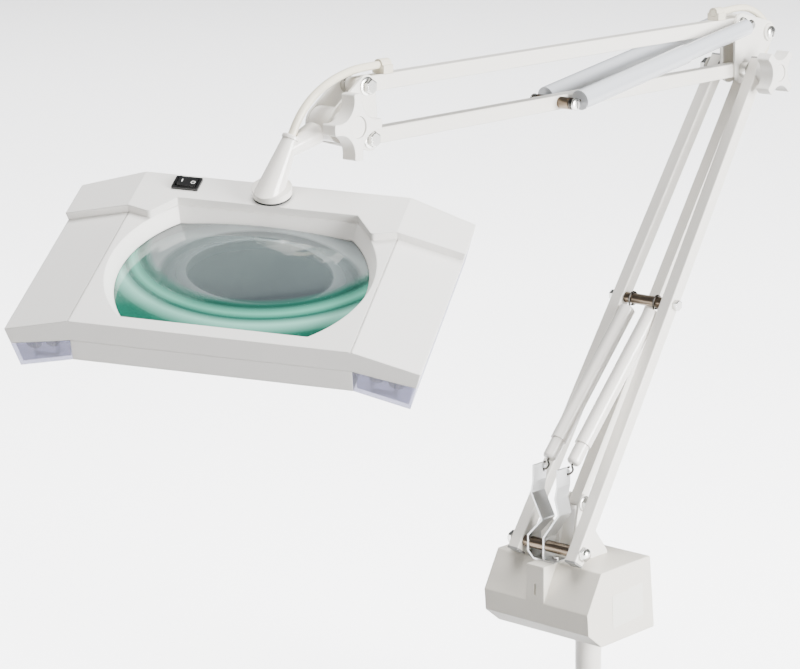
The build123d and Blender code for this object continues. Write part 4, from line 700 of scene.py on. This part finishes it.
elbow_route += from_pivot(ELBOW, (37.4, 5.8), (26.9, 1.7), (17.4, 1.2))
head_path = rounded(head_route, bends_of(head_route))
split = min(range(len(head_path)), key=lambda i: abs(head_path[i].x - HEAD_TOP.x))
lead = new_piece("head cable neck side", *sweep(head_path[: split + LAP], CABLE_R, 16), ivory, None)
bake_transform(lead)
clipped = sweep(head_path[split - LAP :], CLIPPED_R, 16)
new_piece("head cable bar side", *clipped, ivory, "top_bar", "head_cable")
elbow_path = rounded(elbow_route, bends_of(elbow_route))
loop = new_piece("elbow cable loop", *sweep(elbow_path, CABLE_R, 16), ivory, None)
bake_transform(loop)
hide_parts("elbow_cable")
print("cables done")

# %% [markdown]
# ## Head: lens, clear corner lenses and switch marks

# %% Ground lens
BALL_R = (LENS_R**2 + (10 * mm) ** 2) / (20 * mm)


def lens_rim(turn):
    """Distance to the lens's edge in a direction: an arc cut by two straight edges."""
    across = abs(sin(turn))
    return min(LENS_R, LENS_HALF / across) if across > 1e-6 else LENS_R


def cap_height(distance):
    """Height of a lens face over its middle plane."""
    return 1.5 * mm + sqrt(BALL_R**2 - distance**2) - sqrt(BALL_R**2 - LENS_R**2)


verts, faces = [], []
SPOKES, RINGS = 144, 24
for face_side in (1, -1):
    verts.append(HEAD @ Vector((0, 0, LENS_MID + face_side * cap_height(0))))
    for ring in range(1, RINGS + 1):
        for spoke in range(SPOKES):
            turn = 2 * pi * spoke / SPOKES
            reach = lens_rim(turn) * ring / RINGS
            level = LENS_MID + face_side * cap_height(reach)
            verts.append(HEAD @ Vector((reach * cos(turn), reach * sin(turn), level)))
half = 1 + RINGS * SPOKES
for start in (0, half):
    for spoke in range(SPOKES):
        after = (spoke + 1) % SPOKES
        faces.append((start, start + 1 + spoke, start + 1 + after))
        for ring in range(RINGS - 1):
            a = start + 1 + ring * SPOKES + spoke
            b = start + 1 + ring * SPOKES + after
            faces.append((a, a + SPOKES, b + SPOKES, b))
for spoke in range(SPOKES):
    after = (spoke + 1) % SPOKES
    a = 1 + (RINGS - 1) * SPOKES + spoke
    b = 1 + (RINGS - 1) * SPOKES + after
    faces.append((a, a + half, b + half, b))
new_piece("ground lens", verts, faces, lens_glass, "head", "magnifying_lens")

# %% Ribs in the front corners of the clear corner lenses


def head_box(x0, x1, y0, y1, z0, z1):
    """A box in the head's own millimetres."""
    corners = [(x, y, z) for x in (x0, x1) for y in (y0, y1) for z in (z0, z1)]
    verts = [HEAD @ (Vector(c) * mm) for c in corners]
    return verts, [(0, 1, 3, 2), (4, 6, 7, 5), (0, 4, 5, 1), (2, 3, 7, 6), (0, 2, 6, 4), (1, 5, 7, 3)]


RIB_HALF, RIB_FRONT, RIB_REAR, FOLD_X = 0.4, -75.6, -70, 97
for hand in (1, -1):
    ribs = []
    for x in (109, 125):
        side = hand * x
        low_z, high_z = -29.9 - (x - FOLD_X) * 0.25, -18.6 - (x - FOLD_X) * 0.19
        ribs.append(head_box(side - RIB_HALF, side + RIB_HALF, RIB_FRONT, RIB_REAR, low_z, high_z))
    ribs.append(head_box(hand * 109.5, hand * 124.5, RIB_FRONT, RIB_REAR - 2, -33.4, -32.8))
    new_piece(f"corner lens ribs {hand}", *joined(*ribs), acrylic, "head")

# %% Marks on the rocker
SWITCH_X, SWITCH_Y, ROCKER_Z, TILT = -63.6, 85.0, 3.5, radians(7)


def on_rocker(x, y, lift):
    """A point on the rocker's pressed face, in the head's frame."""
    z = 4.6 + abs(x) / 6.7 + lift
    turned = Vector((x * cos(TILT) + z * sin(TILT), y, -x * sin(TILT) + z * cos(TILT)))
    return HEAD @ ((Vector((SWITCH_X, SWITCH_Y, ROCKER_Z)) + turned) * mm)


MARK_LOW, MARK_HIGH = -0.05, 0.06
BAR_PLAN = ((-4.2, -1.7), (-3.7, -1.7), (-3.7, 1.7), (-4.2, 1.7))
RING_SECTION = ((1.2, MARK_LOW), (1.7, MARK_LOW), (1.7, MARK_HIGH), (1.2, MARK_HIGH))
bar = [on_rocker(x, y, lift) for lift in (MARK_LOW, MARK_HIGH) for x, y in BAR_PLAN]
bar_faces = [(3, 2, 1, 0), (4, 5, 6, 7), (0, 1, 5, 4), (1, 2, 6, 5), (2, 3, 7, 6), (3, 0, 4, 7)]
ring_verts, ring_faces = [], []
for k in range(32):
    turn = 2 * pi * k / 32
    for radius, lift in RING_SECTION:
        ring_verts.append(on_rocker(4 + radius * cos(turn), radius * sin(turn), lift))
    for j in range(4):
        a, b = 4 * k + j, 4 * k + (j + 1) % 4
        c, d = 4 * ((k + 1) % 32) + j, 4 * ((k + 1) % 32) + (j + 1) % 4
        ring_faces.append((a, b, d, c))
new_piece("switch marks", *joined((bar, bar_faces), (ring_verts, ring_faces)), mark_white, "rocker")
print("head done")

# %% [markdown]
# ## Stage, light and camera

# %% Floor
bpy.ops.mesh.primitive_plane_add(size=60, location=(0, 0, 0))
floor = bpy.context.object
floor.name = "floor"
floor_paint = surface("pale studio floor", "#E9E9EA", 0.6, edge=0.0)
floor.data.materials.append(floor_paint)
floor.visible_diffuse = False
floor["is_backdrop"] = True

# %% Lights
world = bpy.data.worlds.new("studio")
bpy.context.scene.world = world
world.use_nodes = True
world.node_tree.nodes["Background"].inputs["Color"].default_value = linear("#F4F6FA")
world.node_tree.nodes["Background"].inputs["Strength"].default_value = 0.3


def area_light(name, place, aim, size, watts, colour="#FFFFFF"):
    """A square soft light aimed at a point."""
    light = bpy.data.lights.new(name, "AREA")
    light.size = size
    light.energy = watts
    light.color = linear(colour)[:3]
    obj = bpy.data.objects.new(name, light)
    obj.location = place
    obj.rotation_euler = (Vector(aim) - Vector(place)).to_track_quat("-Z", "Y").to_euler()
    bpy.context.scene.collection.objects.link(obj)
    obj.visible_camera = False
    obj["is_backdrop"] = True
    return obj


MIDDLE = (low + high) / 2
overhead = area_light("overhead", (-0.2, 0.1, 2.3), MIDDLE, 1.3, 80)
overhead.visible_glossy = False
area_light("right softbox", (0.2, -2.3, 0.7), MIDDLE - Vector((0, 0, 0.1)), 1.2, 230)
area_light("left softbox", (-2.5, -0.5, 0.5), MIDDLE, 0.9, 14, "#FFF9F0")
wash = area_light("floor wash", (0.5, 0.5, 4), (0.5, 0.5, 0), 12, 3000)
only_floor = bpy.data.collections.new("floor only")
only_floor.objects.link(floor)
wash.light_linking.receiver_collection = only_floor

# %% Camera
camera = bpy.data.cameras.new("camera")
camera.lens = 118.7
camera.sensor_width = 36
camera.shift_x = -0.1104
camera.shift_y = -0.0149
camera.clip_end = 200
viewer = bpy.data.objects.new("camera", camera)
bpy.context.scene.collection.objects.link(viewer)
RIGHT = Vector((0.6543, -0.7563, -0.0035))
FORWARD = Vector((0.7382, 0.6397, -0.2142))
UP = RIGHT.cross(FORWARD).normalized()
turned = Matrix((RIGHT, UP, -FORWARD)).transposed().to_4x4()
turned.translation = Vector((-1.6394, -1.3112, 0.8125))
viewer.matrix_world = turned
bpy.context.scene.camera = viewer

# %% Finish
low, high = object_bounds()
print("size", [round(v, 3) for v in high - low])
